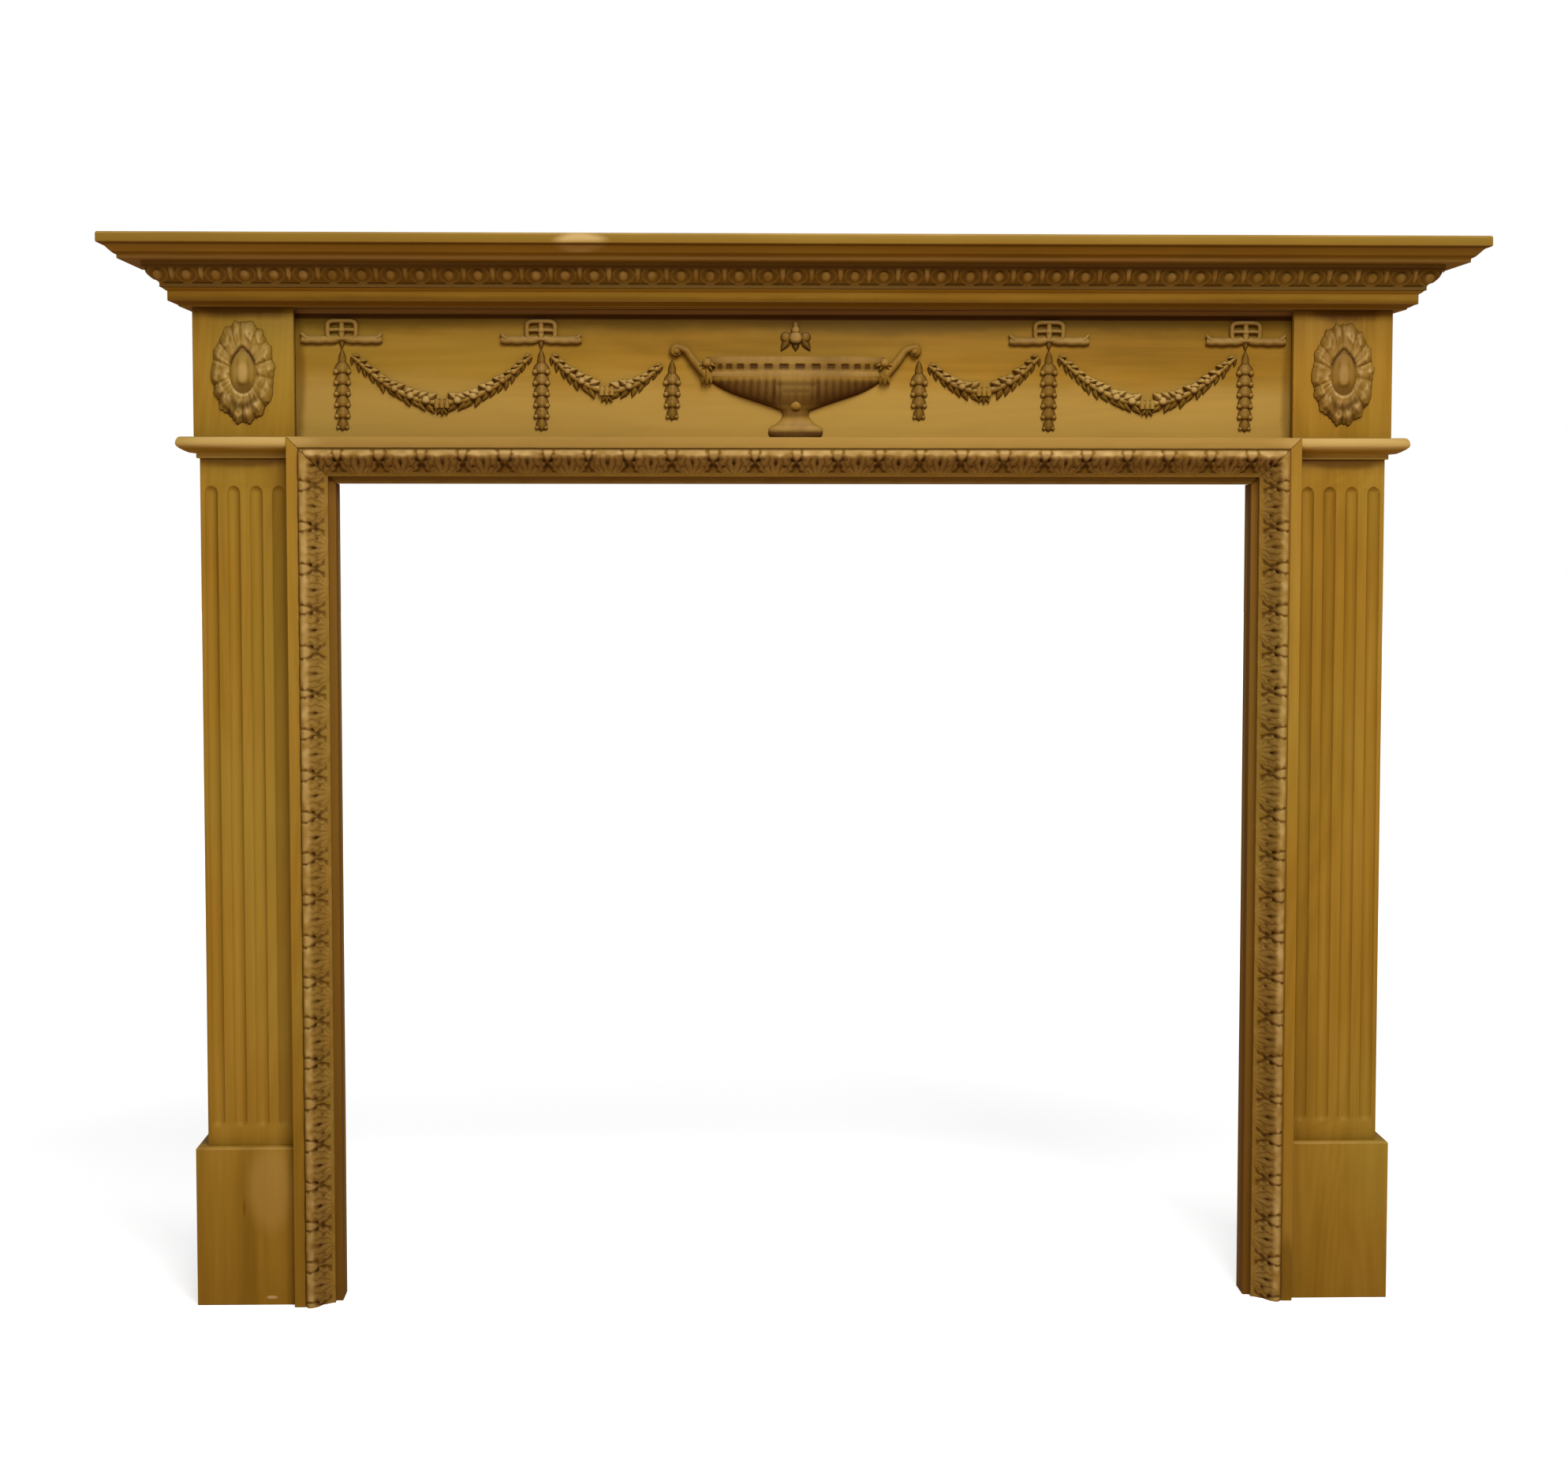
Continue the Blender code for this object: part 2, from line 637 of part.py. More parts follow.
def make_bow(name, at):
    """A ribbon bow: two loops, a knot and two long tails."""
    ribbon = RIBBON_WIDTH / 2
    bm = bmesh.new()
    for side in SIDES.values():
        path = []
        for i in range(BOW_LOOP_POINTS):
            angle = 2 * math.pi * i / BOW_LOOP_POINTS
            x = BOW_LOOP_OFFSET + BOW_LOOP_HALF * math.cos(angle)
            path.append((side * x, BOW_LOOP_RISE + BOW_LOOP_HALF * math.sin(angle)))
        add_ribbon(bm, path, [ribbon * 0.82] * BOW_LOOP_POINTS, BOW_RELIEF, closed=True)
        reach = BOW_TAIL_REACH - ribbon * 0.3
        tail = [(side * reach * share, z) for share, z, _ in BOW_TAIL]
        widths = [ribbon * width for _, _, width in BOW_TAIL]
        add_ribbon(bm, tail, widths, BOW_RELIEF * (0.80 if side > 0 else 0.79))
    bow = finish(name, bm, carved_pine, at, round_piece=True)
    knot = bmesh.new()
    add_skin(knot, [relief_section((0.0, z), (1.0, 0.0), half, BOW_RELIEF * 1.12) for z, half in BOW_KNOT])
    tied = helper(f"{name}_knot", knot)
    tied.location = at
    join = bow.modifiers.new("knot", "BOOLEAN")
    join.operation = "UNION"
    join.solver = "EXACT"
    join.use_self = True
    join.object = tied


def make_drop(name, length, husks, at):
    """A hanging string of bell husks on a thin stem, smaller towards the foot."""
    stem = 0.10 * length
    bell = (length - stem) / husks
    level = (1.0, 0.0)
    sections = [relief_section((0.0, 0.0), level, STEM_WIDTH, HUSK_RELIEF * 0.5, 3)]
    for husk in range(husks):
        size = 1.0 - 0.30 * husk / (husks - 1)
        top = -stem - husk * bell
        neck = STEM_WIDTH * 1.7
        lip = HUSK_WIDTH * size
        sections.append(relief_section((0.0, top), level, neck, HUSK_RELIEF * 0.62, 3))
        sections.append(relief_section((0.0, top - 0.80 * bell), level, lip, HUSK_RELIEF * size, 3))
    sections.append(relief_section((0.0, -length), level, STEM_WIDTH * 0.5, HUSK_RELIEF * 0.3, 3))
    finish(name, skin(sections), carved_pine, at, round_piece=True)


def urn_profile():
    """(radius, z over the urn's foot), upwards, as shares of the rim's radius and height."""
    shares = [
        (0.245, 0.000), (0.300, 0.030), (0.305, 0.110), (0.245, 0.180), (0.140, 0.225), (0.125, 0.270),
        (0.170, 0.320), (0.290, 0.375), (0.460, 0.440), (0.610, 0.495), (0.790, 0.575), (0.950, 0.680),
        (0.985, 0.800), (1.000, 0.815), (0.985, 0.840), (0.985, 0.960), (1.000, 1.000),
    ]  # fmt: skip
    return [(URN_RIM_RADIUS * r, URN_RIM_RISE * z) for r, z in shares]


def urn_section(radius, z, gadroon, arcs=12):
    depth = URN_RELIEF * (0.28 + 0.72 * (radius / URN_RIM_RADIUS) ** 0.8)
    points = []
    for i in range(arcs + 1):
        angle = math.pi * i / arcs
        lobe = 1.0 - (gadroon if i % 2 else 0.0)
        out = depth * (0.15 + 0.85 * math.sin(angle)) * lobe
        points.append((radius * math.cos(angle), -out, z))
    return [(radius, 0.0, z), *points, (-radius, 0.0, z)]


def tube(path, radius, sides=6):
    """A round bar along a path that lies in the plane of the frieze, at half its thickness out."""
    across = normals_along(path)
    sections = []
    for i, (x, z) in enumerate(path):
        loop = []
        for k in range(sides):
            angle = 2 * math.pi * (k + 0.5) / sides
            offset = radius * math.cos(angle)
            out = radius + radius * math.sin(angle)
            loop.append((x + across[i][0] * offset, -out, z + across[i][1] * offset))
        sections.append(loop)
    return sections


def handle_path(side):
    """From the mask at the rim, out and up, and round into the scroll at the handle's end."""
    reach = SCROLL_RADIUS + HANDLE_RADIUS
    centre = Vector((HANDLE_REACH - reach, HANDLE_TOP_RISE - reach))
    root = Vector((URN_RIM_RADIUS + 0.002, URN_RIM_RISE - HANDLE_ROOT_DROP))
    points = [root, root + Vector((0.014, 0.016)), centre + Vector((-0.014, -0.001))]
    for step in range(5):
        angle = math.radians(112 - 56 * step)
        shrunk = SCROLL_RADIUS * (1 - 0.05 * step)
        points.append(centre + shrunk * Vector((math.cos(angle), math.sin(angle))))
    return [(side * p.x, p.y) for p in points]


def make_urn():
    bm = bmesh.new()
    fluted = range(7, 12)
    sections = []
    for i, (radius, z) in enumerate(urn_profile()):
        sections.append(urn_section(radius, z, 0.13 if i in fluted else 0.0))
    add_skin(bm, sections)
    for side in SIDES.values():
        add_skin(bm, tube(handle_path(side), HANDLE_RADIUS * (1.0 if side > 0 else 1.001)))
    at = (0.0, y_at(ORNAMENT_DEPTH), FRIEZE_FOOT + 4 * GAP)
    urn = finish("urn", bm, carved_pine, at, round_piece=True)
    masks = bmesh.new()
    for side in SIDES.values():
        x = side * URN_RIM_RADIUS
        z = URN_RIM_RISE - URN_MASK_DROP
        loops = []
        for share in (-1.0, -0.55, 0.1, 0.7, 1.0):
            half = URN_MASK_WIDTH / 2 * math.sqrt(max(1 - share**2, 0.06))
            centre = (x, z + URN_MASK_HEIGHT / 2 * share)
            loops.append(relief_section(centre, (1.0, 0.0), half, URN_RELIEF * 0.72, 5))
        add_skin(masks, loops)
    planted = helper("urn_masks", masks)
    planted.location = at
    join = urn.modifiers.new("masks", "BOOLEAN")
    join.operation = "UNION"
    join.solver = "EXACT"
    join.use_self = True
    join.object = planted


# The bud over the urn, downwards: height over its centre, share of its half width, share of the relief
FINIAL_SECTIONS = (
    (0.0210, 0.12, 0.4), (0.0170, 0.26, 0.8), (0.0110, 0.34, 0.9), (0.0065, 0.80, 0.9),
    (0.0000, 1.00, 0.8), (-0.0100, 0.98, 0.8), (-0.0155, 0.72, 0.5),
)  # fmt: skip


def make_finial():
    """The small bud and leaves that hang over the urn."""
    loops = []
    for z, share, relief in FINIAL_SECTIONS:
        half = FINIAL_HALF_WIDTH * share
        loops.append(relief_section((0.0, z), (1.0, 0.0), half, BOW_RELIEF * relief, 6))
    at = (0.0, y_at(ORNAMENT_DEPTH), FRIEZE_TOP - FINIAL_DROP)
    finish("urn_finial", skin(loops), carved_pine, at, round_piece=True)


# The rings of a patera, inwards: share of its radius, share of its relief, how deep its edge is lobed
PATERA_RINGS = (
    (1.00, 0.00, 0.10), (1.00, 0.16, 0.10), (0.84, 0.62, 0.10),
    (0.60, 0.44, 0.04), (0.48, 0.80, 0.00), (0.34, 0.46, 0.00),
)  # fmt: skip


def make_patera(side_name, side):
    """An oval flower: leaves round the edge, a raised ring and a boss."""
    count = 2 * PATERA_LEAVES
    bm = bmesh.new()
    loops = []
    for share, out, lobe in PATERA_RINGS:
        loop = []
        for i in range(count):
            angle = 2 * math.pi * i / count
            reach = share * (1 - lobe * (i % 2))
            x = PATERA_HALF_WIDTH * reach * math.cos(angle)
            z = PATERA_HALF_HEIGHT * reach * math.sin(angle)
            loop.append(bm.verts.new((x, -PATERA_RELIEF * out, z)))
        loops.append(loop)
    for near, far in zip(loops, loops[1:]):
        for i in range(count):
            j = (i + 1) % count
            bm.faces.new((near[i], near[j], far[j], far[i]))
    bm.faces.new(list(reversed(loops[0])))
    boss = bm.verts.new((0.0, -PATERA_RELIEF, 0.0))
    for i in range(count):
        bm.faces.new((loops[-1][i], loops[-1][(i + 1) % count], boss))
    middle = BLOCK_INNER + BLOCK_WIDTH / 2
    at = (side * middle, y_at(BLOCK_DEPTH + GAP), FRIEZE_FOOT + FRIEZE_HEIGHT / 2)
    finish(f"patera_{side_name}", bm, carved_pine, at, round_piece=True)


def make_garlands():
    y = y_at(ORNAMENT_DEPTH)
    end_z = FRIEZE_TOP - SWAG_END_DROP
    long_top = FRIEZE_TOP - LONG_DROP_TOP
    short_top = FRIEZE_TOP - SHORT_DROP_TOP
    long_drop = FRIEZE_HEIGHT - LONG_DROP_TOP - LONG_DROP_FOOT_RISE
    short_drop = FRIEZE_HEIGHT - SHORT_DROP_TOP - SHORT_DROP_FOOT_RISE
    beside_urn = SHORT_DROP_SPACING / 2
    for side_name, side in SIDES.items():
        for place, x in (("outer", OUTER_BOW), ("inner", INNER_BOW)):
            make_bow(f"bow_{place}_{side_name}", (side * x, y, FRIEZE_TOP - BOW_DROP))
            make_drop(f"drop_{place}_{side_name}", long_drop, LONG_DROP_HUSKS, (side * x, y, long_top))
        make_drop(f"drop_urn_{side_name}", short_drop, SHORT_DROP_HUSKS, (side * beside_urn, y, short_top))
        spans = {
            "outer": (INNER_BOW + SWAG_END_OFFSET, OUTER_BOW - SWAG_END_OFFSET, OUTER_SWAG_SAG),
            "inner": (beside_urn + SWAG_END_OFFSET, INNER_BOW - SWAG_END_OFFSET, INNER_SWAG_SAG),
        }
        for place, (near, far, sag) in spans.items():
            near_z = end_z if place == "outer" else end_z - 2 * SWAG_THIN
            ends = sorted(((side * near, near_z), (side * far, end_z)))
            make_swag(f"swag_{place}_{side_name}", ends[0], ends[1], sag, (0.0, y, 0.0))


for old in list(bpy.data.objects):
    bpy.data.objects.remove(old)

mantel = bpy.data.objects.new("mantel", None)
bpy.context.scene.collection.objects.link(mantel)
pine = wood("waxed_pine", (0.33, 0.20, 0.055), 0.55)
carved_pine = wood("carved_pine", (0.29, 0.17, 0.06), 0.6)

make_shelf()
make_cornice()
make_frieze()
make_linings()
for member in MEMBERS:
    make_frame(member)
    make_leaf_moulding(member)
for name_of_side, sign in SIDES.items():
    make_plinth(name_of_side, sign)
    make_pilaster(name_of_side, sign)
    make_capital(name_of_side, sign)
    make_patera(name_of_side, sign)
make_garlands()
make_urn()
make_finial()
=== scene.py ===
import math
import random

import bmesh
import bpy
from mathutils import Matrix, Vector, noise


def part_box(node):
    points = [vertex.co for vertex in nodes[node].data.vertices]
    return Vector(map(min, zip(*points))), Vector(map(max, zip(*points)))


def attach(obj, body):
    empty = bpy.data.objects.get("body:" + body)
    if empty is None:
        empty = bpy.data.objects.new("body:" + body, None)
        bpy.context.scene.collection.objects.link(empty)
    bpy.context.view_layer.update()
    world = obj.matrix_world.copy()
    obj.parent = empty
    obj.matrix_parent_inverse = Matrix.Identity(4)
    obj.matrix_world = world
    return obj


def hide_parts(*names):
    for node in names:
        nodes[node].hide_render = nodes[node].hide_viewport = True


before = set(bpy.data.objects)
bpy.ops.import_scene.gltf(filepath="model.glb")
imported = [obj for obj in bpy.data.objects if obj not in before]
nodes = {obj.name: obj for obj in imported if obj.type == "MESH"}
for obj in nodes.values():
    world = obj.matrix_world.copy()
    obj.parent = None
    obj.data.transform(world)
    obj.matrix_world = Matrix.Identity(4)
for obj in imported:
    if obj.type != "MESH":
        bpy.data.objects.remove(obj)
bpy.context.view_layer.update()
print("frame loaded:", len(nodes), "nodes")

sides = {"left": -1, "right": 1}


# Shader sums

class Wire:
    # wraps a node socket, so that shader maths reads as plain Python

    def __init__(self, tree, socket=None):
        self.tree = tree
        self.socket = socket

    def add(self, kind, settings=None, inputs=None, output=0):
        node = self.tree.nodes.new(kind)
        for name, value in (settings or {}).items():
            if name == "stops":
                elements = node.color_ramp.elements
                for place, _ in value[1:-1]:
                    elements.new(place)
                for element, (place, colour) in zip(elements, value):
                    element.position = place
                    element.color = (*colour, 1.0)
            else:
                setattr(node, name, value)
        for name, value in (inputs or {}).items():
            if isinstance(value, Wire):
                self.tree.links.new(value.socket, node.inputs[name])
            else:
                node.inputs[name].default_value = value
        return Wire(self.tree, node.outputs[output])

    def maths(self, operation, a, b=0.0, clamp=False):
        return self.add("ShaderNodeMath", {"operation": operation, "use_clamp": clamp}, {0: a, 1: b})

    def __add__(self, other):
        return self.maths("ADD", self, other)

    def __radd__(self, other):
        return self.maths("ADD", other, self)

    def __sub__(self, other):
        return self.maths("SUBTRACT", self, other)

    def __rsub__(self, other):
        return self.maths("SUBTRACT", other, self)

    def __mul__(self, other):
        return self.maths("MULTIPLY", self, other)

    def __rmul__(self, other):
        return self.maths("MULTIPLY", other, self)

    def __pow__(self, other):
        return self.maths("POWER", self, other)

    def clamped(self):
        return self.maths("ADD", self, 0.0, clamp=True)

    def between(self, low, high):
        inputs = {"Value": self, "From Min": low, "From Max": high}
        return self.add("ShaderNodeMapRange", {"interpolation_type": "SMOOTHSTEP"}, inputs)

    def blend(self, factor, colour, way="MIX"):
        # lays colour over this one, by a factor
        other = colour if isinstance(colour, Wire) else (*colour, 1.0)
        settings = {"data_type": "RGBA", "blend_type": way}
        return self.add("ShaderNodeMix", settings, {0: factor, 6: self, 7: other}, output=2)


# Old waxed pine

pineLook = {
    "dark": (0.150, 0.074, 0.006),
    "middle": (0.262, 0.136, 0.013),
    "pale": (0.365, 0.205, 0.030),
    "recess": (0.085, 0.030, 0.004),
    "worn": (0.520, 0.345, 0.130),
    "streakWidth": 0.034,
    "fibreWidth": 0.0035,
    "blotchSize": 0.26,
    "gloss": 0.50,
    "sheen": 0.06,
    "fibreBump": 0.10,
    "marks": (),
}
carvedLook = {
    **pineLook,
    "dark": (0.118, 0.055, 0.005),
    "middle": (0.215, 0.112, 0.013),
    "pale": (0.330, 0.190, 0.034),
    "recess": (0.048, 0.016, 0.001),
    "worn": (0.540, 0.370, 0.145),
    "gloss": 0.52,
    "sheen": 0.12,
}
plainLook = {
    **pineLook,
    "dark": (0.150, 0.082, 0.022),
    "middle": (0.250, 0.155, 0.055),
    "pale": (0.350, 0.235, 0.100),
    "gloss": 0.78,
    "fibreBump": 0.35,
}
# places on single boards, each a middle, half sizes, a colour and how strongly it shows: real patches,
# stains and chips, and painted shade and painted light
shelfRub = ((-0.268, -0.092, 1.334), (0.034, 0.03, 0.013), (0.62, 0.43, 0.18), 0.62)
plinthPatch = ((-0.666, -0.003, 0.150), (0.030, 0.03, 0.060), (0.36, 0.21, 0.050), 0.55)
plinthStain = ((-0.7000, -0.003, 0.125), (0.0020, 0.03, 0.011), (0.13, 0.055, 0.004), 0.75)
plinthChip = ((-0.6660, -0.003, 0.010), (0.0075, 0.03, 0.0022), (0.55, 0.40, 0.20), 0.80)
rightStrip = ((0.628, -0.0175, 0.040), (0.012, 0.02, 0.055), (0.12, 0.055, 0.005), 0.60)
# painted shadow of the cornice over the frieze's top, a thin band of painted reflected light at its very
# top, and a painted shadow line under the moulding
friezeTopShade = ((0.0, 0.0165, 1.266), (9.0, 0.02, 0.036), (0.085, 0.046, 0.002), 0.72)
friezeTopLight = ((0.0, 0.0165, 1.2600), (9.0, 0.02, 0.0055), (0.300, 0.150, 0.050), 0.75)
friezeTopShadowLine = ((0.0, 0.0165, 1.2515), (9.0, 0.02, 0.0034), (0.040, 0.008, 0.000), 0.80)
blockXs = (-0.69, 0.69)  # the middles of the end blocks and pilasters
# painted shade on the frieze at its ends, beside the proud end blocks
friezeEndShade = [((x, 0.0165, 1.18), (0.014, 0.02, 0.12), (0.090, 0.040, 0.002), 0.55) for x in (-0.628, 0.628)]
# painted light on the frieze's lower part
friezeFoot = ((0.0, 0.0165, 1.095), (9.0, 0.02, 0.085), (0.430, 0.285, 0.075), 0.50)
# painted light on the fascia's top and on the capitals' noses
fasciaTopLight = ((0.0, -0.0175, 1.096), (9.0, 0.008, 0.016), (0.400, 0.265, 0.085), 0.40)
capitalLight = [((x, -0.0145, 1.0935), (0.10, 0.012, 0.0100), (0.480, 0.320, 0.110), 0.60) for x in blockXs]
# painted shade on the shelf's front moulding and under it, with painted shadow lines
shelfUnderShade = ((0.0, -0.0955, 1.3290), (9.0, 0.02, 0.0080), (0.230, 0.120, 0.018), 0.60)
shelfFaceShade = ((0.0, -0.0955, 1.3380), (9.0, 0.004, 0.0085), (0.190, 0.118, 0.018), 0.62)
shelfShadowLine = ((0.0, -0.0955, 1.3322), (9.0, 0.03, 0.0017), (0.100, 0.046, 0.001), 0.75)
shelfLowShadowLine = ((0.0, -0.0800, 1.3218), (9.0, 0.03, 0.0015), (0.110, 0.046, 0.002), 0.65)
shelfRedShade = ((0.0, -0.0800, 1.3165), (9.0, 0.03, 0.0028), (0.200, 0.100, 0.036), 0.50)
# painted shade at the foot of the bed moulding, which faces down
bedFootShade = ((0.0, -0.0100, 1.2650), (9.0, 0.030, 0.0100), (0.120, 0.055, 0.006), 0.70)
# painted shadow of the capitals on the pilasters' tops
underCapitalShade = [((x, 0.0105, 1.0740), (0.070, 0.02, 0.0130), (0.070, 0.020, 0.001), 0.60) for x in blockXs]
# painted shade of the cornice on the end blocks' tops
blockTopShade = [((x, 0.004, 1.2660), (0.080, 0.02, 0.0200), (0.060, 0.016, 0.001), 0.70) for x in blockXs]


def pineMaterial(name, look, grain):
    # grain is the axis that the board's length runs along
    material = bpy.data.materials.new(name)
    material.use_nodes = True
    tree = material.node_tree
    shader = tree.nodes["Principled BSDF"]
    start = Wire(tree)
    place = start.add("ShaderNodeTexCoord", output="Object")
    split = place.add("ShaderNodeSeparateXYZ", inputs={0: place})
    axes = {axis: Wire(tree, split.socket.node.outputs[axis]) for axis in "XYZ"}
    order = {"X": "XYZ", "Y": "YXZ", "Z": "ZXY"}[grain]
    along, across, deep = (axes[axis] for axis in order)

    def stretched(length, width, detail, roughness=0.55):
        inputs = {0: along * (1 / length), 1: across * (1 / width), 2: deep * (1 / width)}
        vector = start.add("ShaderNodeCombineXYZ", inputs=inputs)
        inputs = {"Vector": vector, "Scale": 1.0, "Detail": detail, "Roughness": roughness}
        return start.add("ShaderNodeTexNoise", inputs=inputs)

    streak = stretched(look["streakWidth"] * 26, look["streakWidth"], 4.0)
    fibre = stretched(look["fibreWidth"] * 34, look["fibreWidth"], 3.0)
    blotch = stretched(look["blotchSize"] * 2.2, look["blotchSize"], 3.0)
    smear = stretched(look["blotchSize"] * 0.8, look["blotchSize"] * 0.30, 5.0, 0.65)
    figure = stretched(0.85, 0.085, 1.5, 0.4)
    rings = start.maths("SINE", figure * 95.0) * 0.5 + 0.5
    tone = streak * 0.95 + blotch * 0.55 + fibre * 0.26 + smear * 0.40 + rings * 0.085 - 0.62
    stops = [(0.0, look["dark"]), (0.48, look["middle"]), (1.0, look["pale"])]
    colour = tone.add("ShaderNodeValToRGB", {"stops": stops}, {0: tone})
    green = blotch.between(0.48, 0.70) * 0.34
    colour = colour.blend(green, (0.250, 0.190, 0.025))
    red = smear.between(0.54, 0.78) * 0.14
    colour = colour.blend(red, (0.270, 0.115, 0.028))

    # the marks lay real patches and stains, and painted shade and painted light, over the grain
    for middle, half, tint, strength in look["marks"]:
        offset = start.add("ShaderNodeVectorMath", {"operation": "SUBTRACT"}, {0: place, 1: middle})
        shares = offset.add("ShaderNodeVectorMath", {"operation": "DIVIDE"}, {0: offset, 1: half})
        length = shares.add("ShaderNodeVectorMath", {"operation": "LENGTH"}, {0: shares}, output="Value")
        inside = 1.0 - (length + (smear - 0.5) * 0.9).between(0.55, 1.15)
        colour = colour.blend((inside * strength).clamped(), tint)
    footing = 1.0 - axes["Z"].between(0.0, 0.55)
    colour = colour.blend(footing * 0.22, (0.130, 0.070, 0.006))

    # the first attribute darkens the colour with grime in hollows and with painted shade; the second pales
    # it with rubbed wear and with painted highlight
    recess = start.add("ShaderNodeAttribute", {"attribute_name": "recess"}, output="Fac")
    worn = start.add("ShaderNodeAttribute", {"attribute_name": "worn"}, output="Fac")
    colour = colour.blend((recess * (0.72 + smear * 0.5)).clamped(), look["recess"])
    rubbedAndLit = worn * (smear.between(0.34, 0.62) * 0.55 + 0.45)
    colour = colour.blend((rubbedAndLit * 0.70).clamped(), look["worn"])
    tree.links.new(colour.socket, shader.inputs["Base Color"])

    roughness = look["gloss"] + (fibre - 0.5) * 0.22 + (smear - 0.5) * 0.28 + recess * 0.30
    tree.links.new(roughness.clamped().socket, shader.inputs["Roughness"])
    height = fibre * look["fibreBump"] + streak * 0.05 + rings * look["fibreBump"] * 0.25
    bump = start.add("ShaderNodeBump", inputs={"Height": height, "Strength": 0.42, "Distance": 0.0011})
    tree.links.new(bump.socket, shader.inputs["Normal"])
    shader.inputs["Metallic"].default_value = 0.0
    shader.inputs["Specular IOR Level"].default_value = look["sheen"]
    return material


pineMarks = {
    "X": (shelfFaceShade, shelfRub, shelfUnderShade, shelfShadowLine, shelfLowShadowLine, shelfRedShade, bedFootShade, friezeFoot, *friezeEndShade)
    + (friezeTopShade, friezeTopLight, friezeTopShadowLine, fasciaTopLight, *capitalLight),
    "Y": (),
    "Z": (plinthPatch, plinthStain, plinthChip, rightStrip, *underCapitalShade, *blockTopShade),
}
pine = {}
for axis, marks in pineMarks.items():
    pine[axis] = pineMaterial(f"waxedPine{axis}", {**pineLook, "marks": marks}, axis)
carved = {axis: pineMaterial(f"carvedPine{axis}", carvedLook, axis) for axis in "XYZ"}
plain = {axis: pineMaterial(f"plainPine{axis}", plainLook, axis) for axis in "XYZ"}
print("materials made")


# Making and finishing a piece

def smoothStep(low, high, value):
    share = min(max((value - low) / (high - low), 0.0), 1.0)
    return share * share * (3 - 2 * share)


def hump(value, place, width):
    # 1 at the place, and falling away softly on both sides
    return math.exp(-(((value - place) / width) ** 2))


def finishPiece(name, bm, material, replaced, sharpAngle=40.0):
    bm.normal_update()
    mesh = bpy.data.meshes.new(name)
    bm.to_mesh(mesh)
    bm.free()
    mesh.materials.append(material)
    mesh.shade_smooth()
    mesh.set_sharp_from_angle(angle=math.radians(sharpAngle))
    piece = bpy.data.objects.new(name, mesh)
    bpy.context.scene.collection.objects.link(piece)
    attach(piece, "root")
    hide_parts(replaced)
    return piece


# Boards and plain mouldings: the solids with their arrises eased and rubbed

boardWork = {
    "ease": 0.0009,  # how far an arris is rounded over
    "sharpAngle": 33.0,
    "rubAndHighlight": 0.42,  # how pale an arris is rubbed
    "softRub": 0.06,  # on boards whose arrises are sheltered
    "shade": 0.32,  # on the linings and on the fillet under the shelf
    "darkFillet": 0.0056,
}
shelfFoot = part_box("mantel_shelf")[0].z
boardGrain = {"mantel_shelf": "X", "frieze_board": "X", "lining_top": "X"}
boardGrain.update({"lining_left": "Z", "lining_right": "Z", "lower_bed_mould_front": "X"})
pairedGrain = {
    "lower_bed_mould": "Y",
    "frieze_block": "Z",
    "capital": "X",
    "pilaster": "Z",
    "plinth": "Z",
    "jamb_side": "Z",
    "frieze_side": "Z",
}
for board, grain in pairedGrain.items():
    for side in sides:
        boardGrain[f"{board}_{side}"] = grain


def easeArrises(bm, rubAndHighlight):
    limit = math.radians(boardWork["sharpAngle"])
    arrises = [edge for edge in bm.edges if len(edge.link_faces) == 2 and edge.calc_face_angle(0) > limit]
    made = bmesh.ops.bevel(
        bm,
        geom=arrises,
        offset=boardWork["ease"],
        segments=2,
        profile=0.5,
        affect="EDGES",
        clamp_overlap=True,
        material=-1,
    )
    worn = bm.loops.layers.float.new("worn")
    for face in made["faces"]:
        face.normal_update()
        for loop in face.loops:
            loop[worn] = rubAndHighlight if face.normal.z > -0.2 else boardWork["softRub"]


def easeBoard(nodeName, grain):
    bm = bmesh.new()
    bm.from_mesh(nodes[nodeName].data)
    bmesh.ops.remove_doubles(bm, verts=bm.verts, dist=2e-5)
    bmesh.ops.dissolve_limit(
        bm, angle_limit=math.radians(0.6), verts=bm.verts, edges=bm.edges, use_dissolve_boundaries=False
    )
    sheltered = nodeName.startswith(("pilaster", "frieze", "lining"))
    easeArrises(bm, boardWork["softRub"] if sheltered else boardWork["rubAndHighlight"])
    shaded = {"lining": 9.0, "mantel_shelf": shelfFoot + boardWork["darkFillet"]}
    for start, limit in shaded.items():
        if nodeName.startswith(start):
            recess = bm.verts.layers.float.new("recess")
            for vert in bm.verts:
                vert[recess] = boardWork["shade"] if vert.co.z < limit else 0.0
    return finishPiece(nodeName + "_worked", bm, pine[grain], nodeName)


for nodeName, grain in boardGrain.items():
    easeBoard(nodeName, grain)
for nodeName, node in nodes.items():
    node.data.materials.clear()
    node.data.materials.append(plain["X"])
print("boards eased")


# Carved runs: a fine sheet follows the moulding's section, and a pattern is cut into it

def carvedRun(length, width, stepAlong, stepAcross, surface):
    # surface(along, across) gives (out, z, darkening, paleness), with along measured from the run's middle;
    # the darkening is grime and painted shade, the paleness rubbed wear and painted highlight
    columns = max(2, round(length / stepAlong))
    rows = max(2, round(width / stepAcross))
    bm = bmesh.new()
    bmesh.ops.create_grid(bm, x_segments=columns, y_segments=rows, size=0.5)
    recess = bm.verts.layers.float.new("recess")
    worn = bm.verts.layers.float.new("worn")
    for vert in bm.verts:
        along = vert.co.x * length
        out, z, deep, rubbedAndLit = surface(along, vert.co.y + 0.5)
        vert.co = (along, -out, z)
        vert[recess] = deep
        vert[worn] = rubbedAndLit
    return bm


